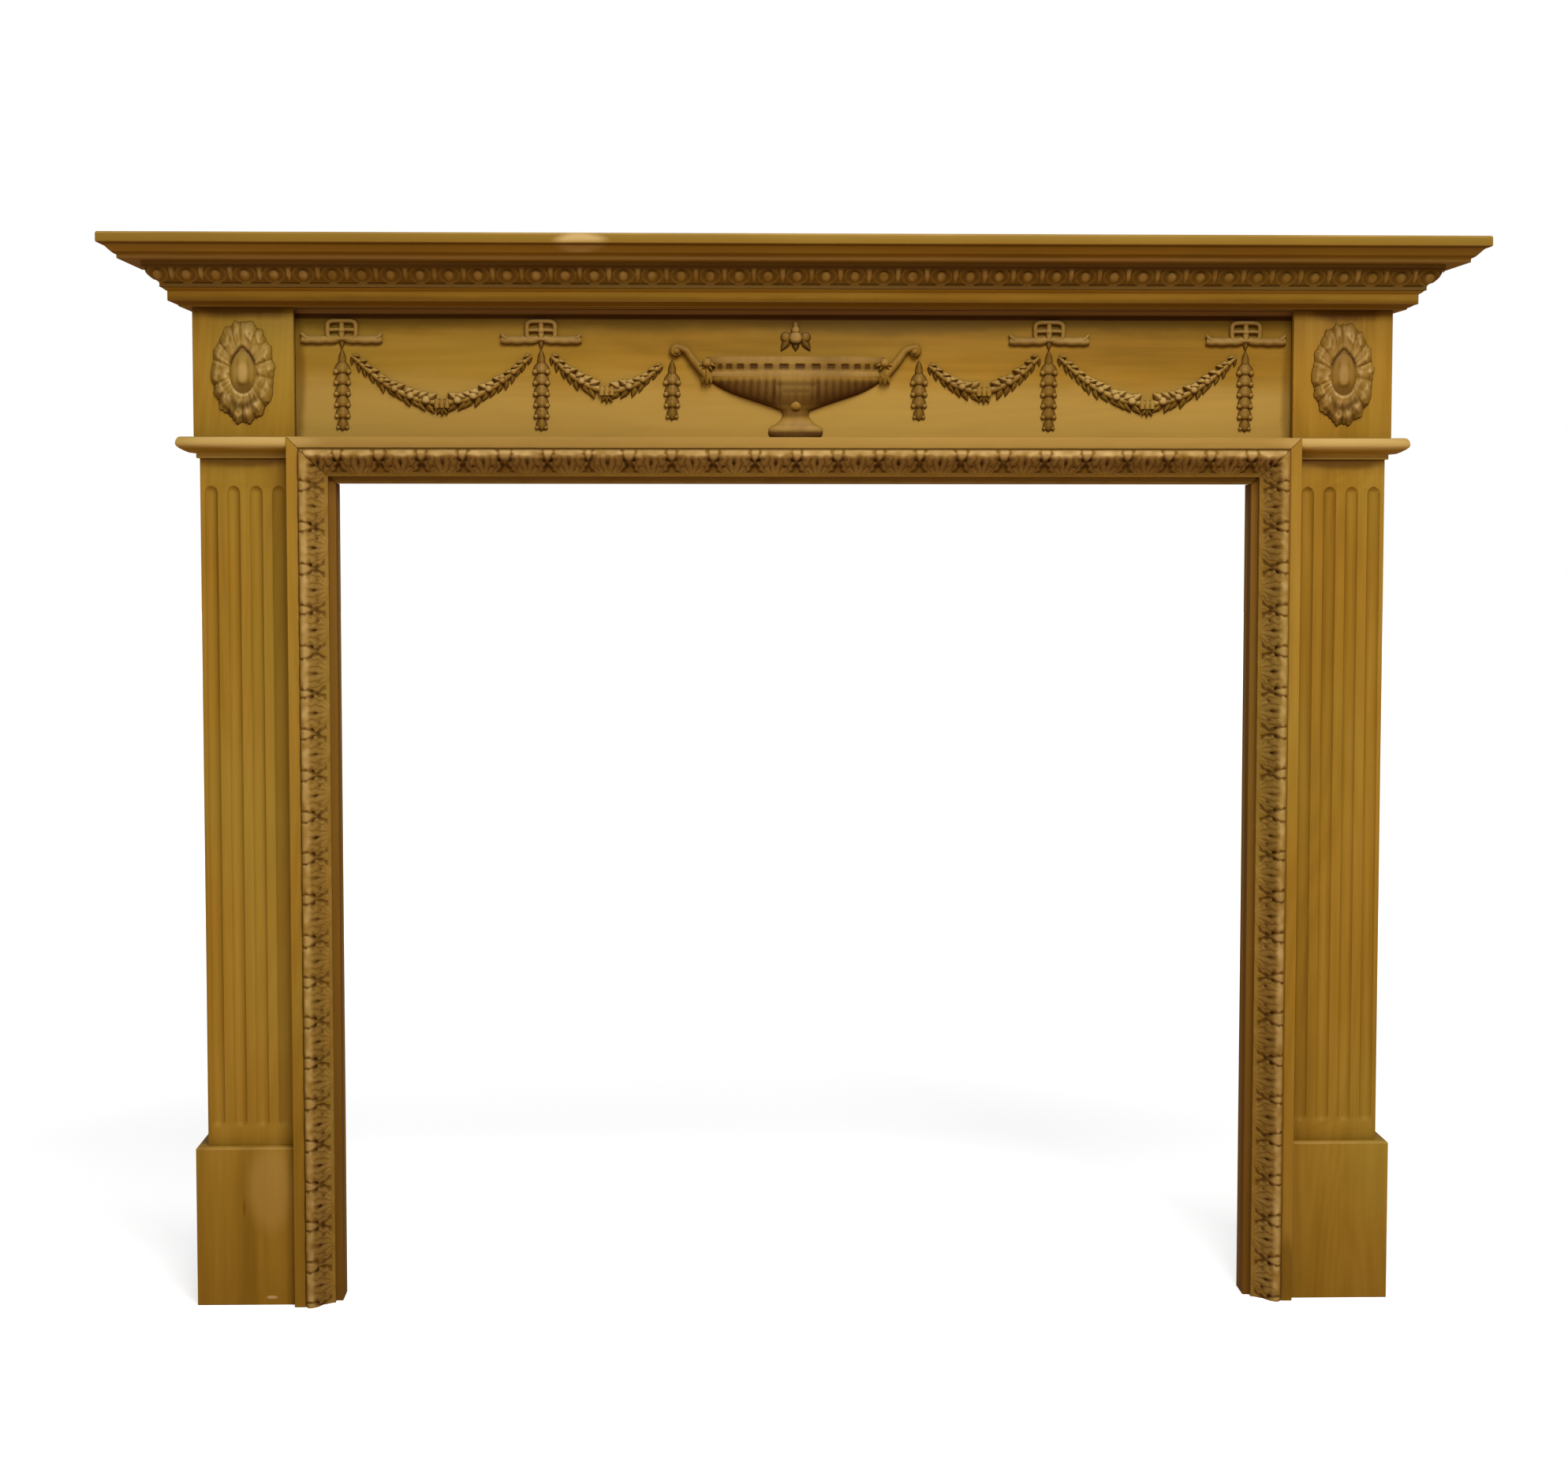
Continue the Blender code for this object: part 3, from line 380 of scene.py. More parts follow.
def closeBack(bm, backY):
    # carries the sheet's rim back to a flat back and closes it
    rim = [edge for edge in bm.edges if edge.is_boundary]
    grown = bmesh.ops.extrude_edge_only(bm, edges=rim)["geom"]
    for part in grown:
        if isinstance(part, bmesh.types.BMVert):
            part.co.y = backY
    rim = [edge for edge in bm.edges if edge.is_boundary]
    bmesh.ops.holes_fill(bm, edges=rim, sides=0)
    bmesh.ops.recalc_face_normals(bm, faces=bm.faces)


def cutFlat(bm, point, outward):
    everything = bm.verts[:] + bm.edges[:] + bm.faces[:]
    bmesh.ops.bisect_plane(bm, geom=everything, plane_co=point, plane_no=outward, clear_outer=True)


# Frame round the opening: a fascia, a quirk, and a broad seat that carries the leaf moulding

frameWork = {
    "quirkWidth": 0.0018,
    "quirkDepth": 0.0014,
    "gap": 0.0003,
    "shade": 0.66,  # how dark the seat and the opening's edge are
}
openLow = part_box("frame_left")[1].x
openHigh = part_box("frame_right")[0].x
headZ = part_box("frame_top")[0].z
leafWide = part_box("leaf_moulding_left")[1].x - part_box("leaf_moulding_left")[0].x
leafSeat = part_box("leaf_moulding_left")[1].y
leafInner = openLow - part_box("leaf_moulding_left")[1].x  # from the opening's edge to the moulding
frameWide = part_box("frame_top")[1].z - headZ
# Each member lies along X as it is made, with the opening below, and is then swung about Y to its place
members = {
    "left": (-math.pi / 2, (openLow, 0.0), 0.0, headZ),
    "top": (0.0, (0.0, headZ), openLow, openHigh),
    "right": (math.pi / 2, (openHigh, 0.0), -headZ, 0.0),
}


def cutEnds(bm, side, gap):
    # mitres towards the head, square cuts at the floor
    _, _, start, end = members[side]
    if side != "left":
        cutFlat(bm, (start + gap, 0.0, 0.0), (-1.0, 0.0, -1.0))
    if side != "right":
        cutFlat(bm, (end - gap, 0.0, 0.0), (1.0, 0.0, -1.0))


def swingToPlace(bm, side, y):
    turn, place, _, _ = members[side]
    bmesh.ops.rotate(bm, verts=bm.verts, matrix=Matrix.Rotation(turn, 3, "Y"))
    bmesh.ops.translate(bm, vec=(place[0], y, place[1]), verts=bm.verts)


def memberSpan(side):
    # a member's length before its mitres are cut
    _, _, start, end = members[side]
    low = start if side == "left" else start - frameWide
    high = end if side == "right" else end + frameWide
    return low, high


def makeFrame(side):
    look = frameWork
    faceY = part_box("frame_top")[0].y
    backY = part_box("frame_top")[1].y
    seatY = leafSeat + look["gap"]
    seatTop = leafInner + leafWide + look["gap"]
    quirkY = faceY + look["quirkDepth"]
    outline = [(backY, 0.0), (seatY, 0.0), (seatY, seatTop), (quirkY, seatTop)]
    outline += [(quirkY, seatTop + look["quirkWidth"]), (faceY, seatTop + look["quirkWidth"])]
    outline += [(faceY, frameWide), (backY, frameWide)]
    low, high = memberSpan(side)
    bm = bmesh.new()
    end = bm.faces.new([bm.verts.new((low, y, up)) for y, up in outline])
    grown = bmesh.ops.extrude_face_region(bm, geom=[end])["geom"]
    moved = [part for part in grown if isinstance(part, bmesh.types.BMVert)]
    bmesh.ops.translate(bm, vec=(high - low, 0.0, 0.0), verts=moved)
    cutEnds(bm, side, look["gap"])
    bmesh.ops.holes_fill(bm, edges=[edge for edge in bm.edges if edge.is_boundary], sides=0)
    bmesh.ops.recalc_face_normals(bm, faces=bm.faces)
    easeArrises(bm, boardWork["softRub"])
    recess = bm.verts.layers.float.new("recess")
    for vert in bm.verts:
        sunk = vert.co.y > quirkY - 0.0002
        vert[recess] = look["shade"] if sunk and vert.co.z < frameWide - 0.002 else 0.0
    swingToPlace(bm, side, 0.0)
    grain = "X" if side == "top" else "Z"
    nodeName = f"frame_{side}"
    return finishPiece(nodeName + "_worked", bm, pine[grain], nodeName)


# Leaf moulding round the opening

leafMoulding = {
    "pitch": 0.052,
    "lip": 0.010,
    "crest": 0.038,
    "groundDepth": 0.0032,
    "eyeDepth": 0.0034,
    # half widths, as shares of half a pitch, from the outer edge inwards
    "leaf": ((0.0, 0.69), (0.20, 0.71), (0.34, 0.70), (0.52, 0.86), (0.70, 0.76), (0.86, 0.58), (1.0, 0.40)),
    "dart": ((0.0, 0.21), (0.20, 0.20), (0.34, 0.11), (0.44, 0.02), (0.62, 0.02), (0.78, 0.14), (1.0, 0.22)),
    # drilled eyes: how far inward, how far from the leaf's middle, and how large each way
    "eyes": (
        (0.50, 0.0, 0.075, 0.10),
        (0.40, 0.80, 0.06, 0.07),
        (0.62, 0.46, 0.06, 0.09),
        (0.58, 1.0, 0.07, 0.09),
    ),
    "band": {"left": 0.189, "top": 0.42, "right": 0.189},  # painted shade on the hollow part of the section, darker on the head, where it faces down
    "rubAndHighlight": {"left": 0.62, "top": 1.15, "right": 0.62},  # how pale the leaves are: rubbed wear, and on the head, whose outer part faces up, more painted highlight
    "stepAlong": 0.0010,
    "stepAcross": 0.0010,
    "gap": 0.0003,
}


def through(stops, value):
    # a smooth line through stops of (place, height)
    for (before, low), (after, high) in zip(stops, stops[1:]):
        if value <= after:
            return low + (high - low) * smoothStep(before, after, value)
    return stops[-1][1]


def leafSurface(along, inward, side):
    look = leafMoulding
    phase = (along / look["pitch"]) % 1.0
    unit = math.floor(along / look["pitch"])
    # each unit is cut by hand, a little off
    hand = noise.noise(Vector((unit * 3.7, 0.3, 0.0))) * 0.14
    waver = noise.noise(Vector((along * 95.0, inward * 3.2, 1.7)))
    fromLeaf = abs(phase - 0.5 + hand * 0.4 + waver * 0.03) * 2
    fromDart = 1 - fromLeaf
    leafHalf = through(look["leaf"], inward) * (1 + 0.06 * math.cos(2 * math.pi * (inward * 4.2 + hand * 4)))
    leaf = smoothStep(-0.09, 0.08, leafHalf - fromLeaf)
    dart = smoothStep(-0.08, 0.06, through(look["dart"], inward) - fromDart)
    foot = smoothStep(0.80, 0.90, inward)  # the foot of the moulding is left plain
    standing = max(leaf, dart, foot)
    share = min(fromLeaf / leafHalf, 1.0)
    eye = 0.0
    for place, beside, tall, wide in look["eyes"]:
        eye = max(eye, math.exp(-(((inward - place) / tall) ** 2) - ((fromLeaf - beside) / wide) ** 2))
    eye *= 0.75 + 0.9 * waver
    fan = abs(math.sin(math.pi * (share * 2.5 + 0.5 + inward * 0.9)))
    vein = (1 - smoothStep(0.0, 0.55, fan)) * leaf * smoothStep(0.16, 0.36, inward) * (1 - foot)
    middle = hump(fromLeaf, 0.0, 0.06) * leaf * smoothStep(0.10, 0.30, inward) * (1 - foot)
    fall = max(inward - 0.10, 0.0) / 0.90  # the outer part faces the room
    base = look["lip"] + (look["crest"] - look["lip"]) * (0.5 + 0.5 * math.cos(math.pi * fall))
    out = base - look["groundDepth"] * (1 - standing) - look["eyeDepth"] * eye
    swell = 0.0013 * leaf * math.cos(math.pi * share / 2) - 0.0013 * vein - 0.0008 * middle
    out += swell + 0.0008 * waver * leaf
    out -= 0.0024 * (1 - smoothStep(0.0, 0.14, inward))  # the outer edge is rounded over
    out = max(min(out, look["crest"] - 0.0001), 0.0015)
    # painted shade on the hollow inner part of the section
    band = smoothStep(0.24, 0.38, inward) * (1 - 0.40 * smoothStep(0.66, 0.80, inward))
    edge = 1 - smoothStep(0.0, 0.10, inward)
    recess = (1 - standing) * 0.45 + eye * 0.62 + vein * 0.24 + middle * 0.16 + edge * 0.12
    recess += band * look["band"][side] * (1 - 0.35 * leaf * fan)
    # the leaves' outer parts and the darts are paler: rubbed wear and painted highlight
    worn = leaf * (1 - smoothStep(0.22, 0.40, inward)) * (1 - 0.5 * vein) * (0.75 + waver)
    worn = max(worn, dart * (1 - smoothStep(0.26, 0.44, inward)) * 0.9, leaf * fan * (1 - foot) * 0.28)
    recess = max(0.0, min(1.0, recess))
    worn = max(0.0, worn * (1 - edge) * (1 - eye)) * look["rubAndHighlight"][side]
    return out, leafWide * (1 - inward), recess, worn


def makeLeafMoulding(side):
    look = leafMoulding
    low, high = memberSpan(side)
    middle = (low + high) / 2
    bm = carvedRun(
        high - low,
        leafWide,
        look["stepAlong"],
        look["stepAcross"],
        lambda along, across: leafSurface(along + middle, 1 - across, side),
    )
    bmesh.ops.translate(bm, vec=(middle, 0.0, leafInner), verts=bm.verts)
    cutEnds(bm, side, look["gap"])
    closeBack(bm, 0.0)
    swingToPlace(bm, side, leafSeat)
    nodeName = f"leaf_moulding_{side}"
    grain = "X" if side == "top" else "Z"
    return finishPiece(nodeName + "_carved", bm, carved[grain], nodeName, 60.0)


for side in members:
    makeFrame(side)
    makeLeafMoulding(side)
print("frame and leaf moulding made")


# Egg course under the shelf

eggCourse = {
    "pitch": 0.0358,  # an egg and a dart
    "foot": 0.034,  # how far the section stands out from the blocks, at its foot
    "top": 0.053,
    "fillet": 0.004,
    "groundDepth": 0.0034,
    "shade": 0.42,
    "stepAlong": 0.00112,
    "gap": 0.0003,
    "rows": 24,
}
bedLow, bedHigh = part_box("carved_bed_mould_front")
blockFace = bedLow.y + eggCourse["top"]
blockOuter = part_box("frieze_block_right")[1].x
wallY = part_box("mantel_shelf")[1].y


def eggSurface(along, share):
    look = eggCourse
    height = bedHigh.z - bedLow.z
    z = height * share
    rise = min(max((z - look["fillet"]) / (height - 2 * look["fillet"]), 0.0), 1.0)
    phase = (along / look["pitch"]) % 1.0
    unit = math.floor(along / look["pitch"] + 0.5)
    hand = noise.noise(Vector((unit * 2.3, 7.1, 0.0))) * 0.10
    fromEgg = min(phase, 1 - phase) * 2 + hand * 0.4
    fromDart = 1 - fromEgg
    base = look["foot"] + (look["top"] - look["foot"]) * math.sin(math.pi / 2 * rise)
    if z <= look["fillet"] or z >= height - look["fillet"]:
        return base, z, 0.50, 0.05
    waver = noise.noise(Vector((along * 120.0, rise * 2.5, 4.4)))
    egg = 1 - math.sqrt((fromEgg / 0.38) ** 2 + ((rise - 0.44) / 0.30) ** 2)
    eggMask = smoothStep(-0.06, 0.28, egg)
    shell = 1 - abs(math.sqrt((fromEgg / 0.70) ** 2 + ((rise - 0.48) / 0.42) ** 2) - 1) / 0.17
    shellMask = smoothStep(0.0, 0.6, shell) * 0.6
    dartWide = 0.17 * smoothStep(0.08, 0.45, rise)
    dart = smoothStep(-0.05, 0.06, dartWide - fromDart) * smoothStep(0.06, 0.18, rise)
    brow = smoothStep(0.80, 0.90, rise)  # left plain over the eggs
    dart *= 1 - brow
    standing = max(eggMask, shellMask * (1 - brow), dart, brow)
    bulge = math.sqrt(max(egg, 0.0)) * 0.0012
    out = base - look["groundDepth"] * (1 - standing) + bulge
    out = min(out, look["top"])
    # darker in the ground, with painted shade on the brow under the shelf, on the upper part and on the
    # lower part, which faces down
    recess = (1 - standing) * look["shade"] + brow * 0.62 + smoothStep(0.60, 0.85, rise) * 0.20
    recess += (1 - smoothStep(0.0, 0.14, rise)) * 0.30
    # the eggs' and darts' crowns are paler: painted highlight and rubbed wear
    worn = eggMask * smoothStep(0.0, 0.7, egg) * (0.36 + waver * 0.5) + dart * (0.34 + waver * 0.4)
    return out, z, min(1.0, recess), max(0.0, worn)


def makeEggCourse(side):
    look = eggCourse
    height = bedHigh.z - bedLow.z
    widest = look["top"]
    if side == "front":
        length = 2 * (blockOuter + widest)
    else:
        length = 2 * (wallY - blockFace + widest)
    bm = carvedRun(length, height, look["stepAlong"], height / look["rows"], eggSurface)
    closeBack(bm, -look["gap"])
    if side == "front":
        for sign in sides.values():
            cutFlat(bm, (sign * (blockOuter - look["gap"]), 0.0, 0.0), (sign, 1.0, 0.0))
        place = (0.0, blockFace, bedLow.z)
        turn = 0.0
    else:
        sign = sides[side]
        cutFlat(bm, (sign * look["gap"], 0.0, 0.0), (-sign, 1.0, 0.0))
        cutFlat(bm, (sign * (wallY - blockFace), 0.0, 0.0), (sign, 0.0, 0.0))
        place = (sign * blockOuter, blockFace, bedLow.z)
        turn = sign * math.pi / 2
    bmesh.ops.holes_fill(bm, edges=[edge for edge in bm.edges if edge.is_boundary], sides=0)
    bmesh.ops.recalc_face_normals(bm, faces=bm.faces)
    bmesh.ops.rotate(bm, verts=bm.verts, matrix=Matrix.Rotation(turn, 3, "Z"))
    bmesh.ops.translate(bm, vec=place, verts=bm.verts)
    nodeName = f"carved_bed_mould_{side}"
    grain = "X" if side == "front" else "Y"
    return finishPiece(nodeName + "_carved", bm, carved[grain], nodeName, 55.0)


for side in ("front", "left", "right"):
    makeEggCourse(side)
print("egg course carved")


# Planted carvings: leaves, beads and ribbons laid on the frieze and joined into one piece

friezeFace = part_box("frieze_board")[0].y
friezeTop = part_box("frieze_board")[1].z
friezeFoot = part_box("frieze_board")[0].z


def addLeaf(bm, root, angle, length, width, height, lift=0.0, ridge=0.35, curl=0.15):
    # a pointed leaf lying on the ground y = 0; angle 0 points down, and positive angles turn it to +X
    made = bmesh.ops.create_uvsphere(bm, u_segments=12, v_segments=9, radius=1.0)["verts"]
    for vert in made:
        share = (vert.co.z + 1) / 2  # 0 at the tip, 1 at the root
        taper = 0.25 + 0.95 * share**0.7 - 0.35 * share**3
        x = vert.co.x * taper
        out = -vert.co.y * (0.55 + 0.45 * share)
        if out > 0:
            out += ridge * 0.5 * hump(x, 0.0, 0.16) - 0.30 * hump(abs(x), 0.45, 0.22)
            out += curl * (1 - share)
        vert.co = (x * width / 2, -max(out, -0.15) * height, (share - 1) * length)
    bmesh.ops.rotate(bm, verts=made, matrix=Matrix.Rotation(-angle, 3, "Y"))
    bmesh.ops.translate(bm, vec=(root[0], -lift, root[1]), verts=made)
    return made


def addBead(bm, at, radius, lift=0.0, flat=1.0, segments=12):
    rings = segments * 3 // 4
    made = bmesh.ops.create_uvsphere(bm, u_segments=segments, v_segments=rings, radius=radius)["verts"]
    bmesh.ops.scale(bm, vec=(1.0, flat, 1.0), verts=made)
    bmesh.ops.translate(bm, vec=(at[0], -lift, at[1]), verts=made)
    return made


def addStrap(bm, points, radii, closed=False, flat=1.0, lift=0.0, smooth=True):
    # a round bar or ribbon along points in the plane of the frieze
    curve = bpy.data.curves.new("strap", "CURVE")
    curve.dimensions = "3D"
    curve.bevel_depth = 1.0
    curve.bevel_resolution = 2
    curve.use_fill_caps = not closed
    curve.resolution_u = 4
    curve.render_resolution_u = 4
    spline = curve.splines.new("NURBS" if smooth else "POLY")
    spline.points.add(len(points) - 1)
    for point, (x, z), radius in zip(spline.points, points, radii):
        point.co = (x, 0.0, z, 1.0)
        point.radius = radius
    spline.use_cyclic_u = closed
    if smooth:
        spline.order_u = 3
        spline.use_endpoint_u = not closed
    holder = bpy.data.objects.new("strap", curve)
    bpy.context.scene.collection.objects.link(holder)
    bpy.context.view_layer.update()
    evaluated = holder.evaluated_get(bpy.context.evaluated_depsgraph_get())
    mesh = bpy.data.meshes.new_from_object(evaluated)
    before = set(bm.verts)
    bm.from_mesh(mesh)
    made = [vert for vert in bm.verts if vert not in before]
    bmesh.ops.scale(bm, vec=(1.0, flat, 1.0), verts=made)
    bmesh.ops.translate(bm, vec=(0.0, -lift, 0.0), verts=made)
    bpy.data.objects.remove(holder)
    bpy.data.curves.remove(curve)
    bpy.data.meshes.remove(mesh)
    return made


def plantCarving(nodeName, bm, place, relief, grimeAndShadeReach=0.55, sharpAngle=55.0, rubAndHighlight=0.70):
    # keeps the carving on its ground, darkens what lies low with grime and painted shade and what faces down
    # with painted shade, and pales what stands high with rubbed wear and what faces up with painted
    # highlight
    bmesh.ops.recalc_face_normals(bm, faces=bm.faces)
    recess = bm.verts.layers.float.get("recess") or bm.verts.layers.float.new("recess")
    worn = bm.verts.layers.float.get("worn") or bm.verts.layers.float.new("worn")
    for vert in bm.verts:
        vert.co.y = max(min(vert.co.y, 0.0), -relief)
        out = -vert.co.y / relief
        # painted shade on faces that turn down, painted highlight on faces that turn up
        under = smoothStep(0.10, 0.85, -vert.normal.z)
        upper = smoothStep(0.15, 0.80, vert.normal.z) * smoothStep(0.15, 0.50, out)
        vert[recess] = max(vert[recess], 1 - smoothStep(0.02, grimeAndShadeReach, out), under * 0.85)
        vert[worn] = max(vert[worn], smoothStep(0.62, 1.0, out) * rubAndHighlight, upper * rubAndHighlight) * (1 - under)
    bmesh.ops.translate(bm, vec=place, verts=bm.verts)
    return finishPiece(nodeName + "_carved", bm, carved["Z"], nodeName, sharpAngle)


def middleOf(nodeName):
    low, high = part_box(nodeName)
    return (low + high) / 2


# Ribbon bows

bowWork = {
    "dropFromTop": 0.029,
    "loopWide": 0.0176,  # from the middle to the ribbon's own middle
    "loopTop": 0.0132,
    "loopFoot": -0.0088,
    "crossing": 0.0028,
    "ribbon": 0.0031,
    "tailReach": 0.0500,
    "tailHeight": -0.0102,
    "tailRadius": 0.0053,
    "relief": 0.0075,
    "knot": 0.0050,
    # the ribbon's wavy tail and its turned-up tip, as shares of the reach and heights, and its swellings
    "tail": (
        (0.06, 0.0020),
        (0.22, -0.0008),
        (0.40, 0.0006),
        (0.58, -0.0008),
        (0.76, 0.0004),
        (0.90, -0.0006),
        (1.0, 0.0008),
    ),
    "tailSwell": (0.8, 1.0, 0.96, 1.04, 0.98, 1.08, 0.85),
    "tailTip": ((0.86, 0.002), (0.95, 0.004), (1.0, 0.0088)),
}


def makeBow(nodeName):
    look = bowWork
    bm = bmesh.new()
    wide, top, foot, ribbon = look["loopWide"], look["loopTop"], look["loopFoot"], look["ribbon"]
    middle = (top + foot) / 2
    ring = [(-1, top), (0, top), (1, top), (1, middle), (1, foot), (0, foot), (-1, foot), (-1, middle)]
    addStrap(bm, [(wide * x, z) for x, z in ring], [ribbon] * 8, closed=True, flat=0.95, lift=ribbon * 1.1)
    crossing = [(wide * x, look["crossing"] - 0.001 * abs(x)) for x in (-1, -0.4, 0.4, 1)]
    addStrap(bm, crossing, [ribbon * 0.85] * 4, lift=ribbon)
    stem = [(0.0, top), (0.0, middle), (0.0, foot)]
    addStrap(bm, stem, [ribbon, ribbon * 1.4, ribbon * 1.3], lift=ribbon * 0.9)
    addBead(bm, (0.0, middle), look["knot"], lift=0.0028)
    addLeaf(bm, (0.0, foot + 0.002), 0.0, 0.0150, 0.0090, 0.0056)
    for sign in sides.values():
        reach, height, radius = look["tailReach"], look["tailHeight"], look["tailRadius"]
        points = [(sign * reach * share, height + rise) for share, rise in look["tail"]]
        radii = [radius * share for share in look["tailSwell"]]
        addStrap(bm, points, radii, flat=0.66, lift=radius * 0.60)
        points = [(sign * reach * share, height + rise) for share, rise in look["tailTip"]]
        addStrap(bm, points, [radius * 0.5, radius * 0.55, radius * 0.30], lift=radius * 0.8)
    place = (middleOf(nodeName).x, friezeFace, friezeTop - look["dropFromTop"])
    plantCarving(nodeName, bm, place, look["relief"], 0.66, rubAndHighlight=0.42)


# Hanging drops of bell husks

dropWork = {
    "relief": 0.0085,
    "huskHalf": 0.0112,
    "bud": (0.0128, 0.0230),  # width and length of the bud that it hangs by
    "shrink": 0.14,
}


def makeDrop(nodeName, husks):
    look = dropWork
    low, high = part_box(nodeName)
    length = high.z - low.z
    budWide, budLong = look["bud"]
    pitch = (length - budLong * 0.80) / (husks + 0.10)
    bm = bmesh.new()
    addLeaf(bm, (0.0, -budLong), math.pi, budLong, budWide, 0.0074, ridge=0.1, curl=0.0)
    for husk in range(husks):
        size = 1 - look["shrink"] * husk / (husks - 1) - (0.14 if husk == husks - 1 else 0.0)
        foot = -budLong * 0.80 - (husk + 1) * pitch
        half = look["huskHalf"] * size
        # a bell with a scalloped rim
        addLeaf(bm, (0.0, foot), math.pi, pitch * 1.35, half * 2.25, 0.0082 * size, ridge=0.15, curl=0.0)
        for sign in sides.values():
            addBead(bm, (sign * half * 0.70, foot + pitch * 0.26), 0.0036 * size, lift=0.0010)
        root = (0.0, foot + pitch * 0.80)
        addLeaf(bm, root, 0.0, pitch * 0.86, half * 0.80, 0.0084 * size, ridge=0.0, curl=0.2)
    place = ((low.x + high.x) / 2, friezeFace, high.z)
    for vert in bm.verts:
        vert.co.z = max(vert.co.z, -length)
    plantCarving(nodeName, bm, place, look["relief"], 0.58)


# Garland swags

swagWork = {
    "endOffset": 0.0125,
    "endDrop": 0.0590,
    "innerEndLower": 0.0110,
    "sag": {"outer": 0.0590, "inner": 0.0375},
    "relief": 0.0110,
    "clusterPitch": 0.0098,
    "leafLong": 0.0160,
    "leafWide": 0.0125,
    "binding": 0.0075,
    "core": 0.0038,
}


def makeSwag(nodeName, nearX, farX, nearZ, farZ, sag):
    look = swagWork
    bm = bmesh.new()
    steps = 80

    def pathAt(t):
        hang = 1 - (2 * t - 1) ** 2
        return Vector((nearX + (farX - nearX) * t, nearZ + (farZ - nearZ) * t - sag * hang))

    def thickAt(t):
        return 0.62 + 0.62 * math.sin(math.pi * t) ** 0.9

    path = [pathAt(i / steps) for i in range(steps + 1)]
    reach = [0.0]
    for before, after in zip(path, path[1:]):
        reach.append(reach[-1] + (after - before).length)
    stops = range(0, steps + 1, 8)
    radii = [look["core"] * thickAt(i / steps) for i in stops]
    addStrap(bm, [tuple(path[i]) for i in stops], radii, flat=0.9, lift=look["core"] * 0.7)
    clusters = 2 * round(reach[-1] / look["clusterPitch"] / 2)
    seeded = random.Random(len(nodeName))
    for k in range(clusters + 1):
        goal = reach[-1] * k / clusters
        i = min(range(steps + 1), key=lambda j: abs(reach[j] - goal))
        t = i / steps
        if abs(k - clusters / 2) < 1.4:
            continue
        here = path[i]
        ahead = pathAt(min(t + 0.01, 1.0)) - pathAt(max(t - 0.01, 0.0))
        towards = ahead if t < 0.5 else -ahead
        heading = math.atan2(towards.x, -towards.y)
        size = thickAt(t)
        long, wide = look["leafLong"] * (0.35 + 0.65 * size), look["leafWide"] * size
        # broad pale leaves stand up along the top of the garland, slimmer ones lie low beneath it
        above = 1 if -math.cos(heading + 1) > -math.cos(heading - 1) else -1
        high = here + Vector((0.0, 0.0016 * size))
        turn = heading + above * math.radians(44) + seeded.uniform(-0.2, 0.2)
        addLeaf(bm, high, turn, long * 0.86, wide, 0.0088 * size, lift=0.0010, ridge=0.1, curl=0.25)
        turn = heading - above * math.radians(36) + seeded.uniform(-0.2, 0.2)
        addLeaf(bm, here, turn, long, wide * 0.80, 0.0060 * size, lift=0.0, ridge=0.1)
        if k % 2:
            addBead(bm, (high.x, high.y), 0.0046 * size, lift=0.0050 * size, segments=10)
    # a binding at the lowest point, with a small husk under it
    centre = pathAt(0.5)
    across = look["binding"]
    for share in (-1.0, 0.0, 1.0):
        x = centre.x + share * across * 0.85
        points = [(x, centre.y - across * 0.75), (x, centre.y), (x, centre.y + across * 0.75)]
        addStrap(bm, points, [across * 0.45, across * 0.52, across * 0.40], lift=0.0046, flat=1.05)
    for turn in (-34, 0, 34):
        addLeaf(bm, (centre.x, centre.y - across * 0.55), math.radians(turn), 0.0125, 0.0078, 0.0062)
    plantCarving(nodeName, bm, (0.0, friezeFace, 0.0), look["relief"], 0.48)


for side in sides:
    for ring in ("outer", "inner"):
        makeBow(f"bow_{ring}_{side}")
        makeDrop(f"drop_{ring}_{side}", 6)
    makeDrop(f"drop_urn_{side}", 4)
print("bows and drops carved")
for side, sign in sides.items():
    outerX = abs(middleOf(f"drop_outer_{side}").x)
    innerX = abs(middleOf(f"drop_inner_{side}").x)
    urnX = abs(middleOf(f"drop_urn_{side}").x)
    offset = swagWork["endOffset"]
    endZ = friezeTop - swagWork["endDrop"]
    spans = {
        "outer": (innerX + offset, outerX - offset, endZ, endZ),
        "inner": (urnX + offset, innerX - offset, endZ - swagWork["innerEndLower"], endZ),
    }
    for ring, (near, far, nearZ, farZ) in spans.items():
        makeSwag(f"swag_{ring}_{side}", sign * near, sign * far, nearZ, farZ, swagWork["sag"][ring])
print("swags carved")


# Urn

urnWork = {
    "rimRadius": 0.112,
    "rimRise": 0.100,
    "relief": 0.020,
    "flutePitch": 0.0094,
    "dentils": 34,
    "panel": 0.0262,  # half the width of the carved panel in the middle
    "bowlShade": 0.60,
    "handle": 0.0052,
    "scroll": 0.0055,
    "handleReach": 0.1605,
    "handleTop": 0.1175,
    "mask": (0.023, 0.034),
}
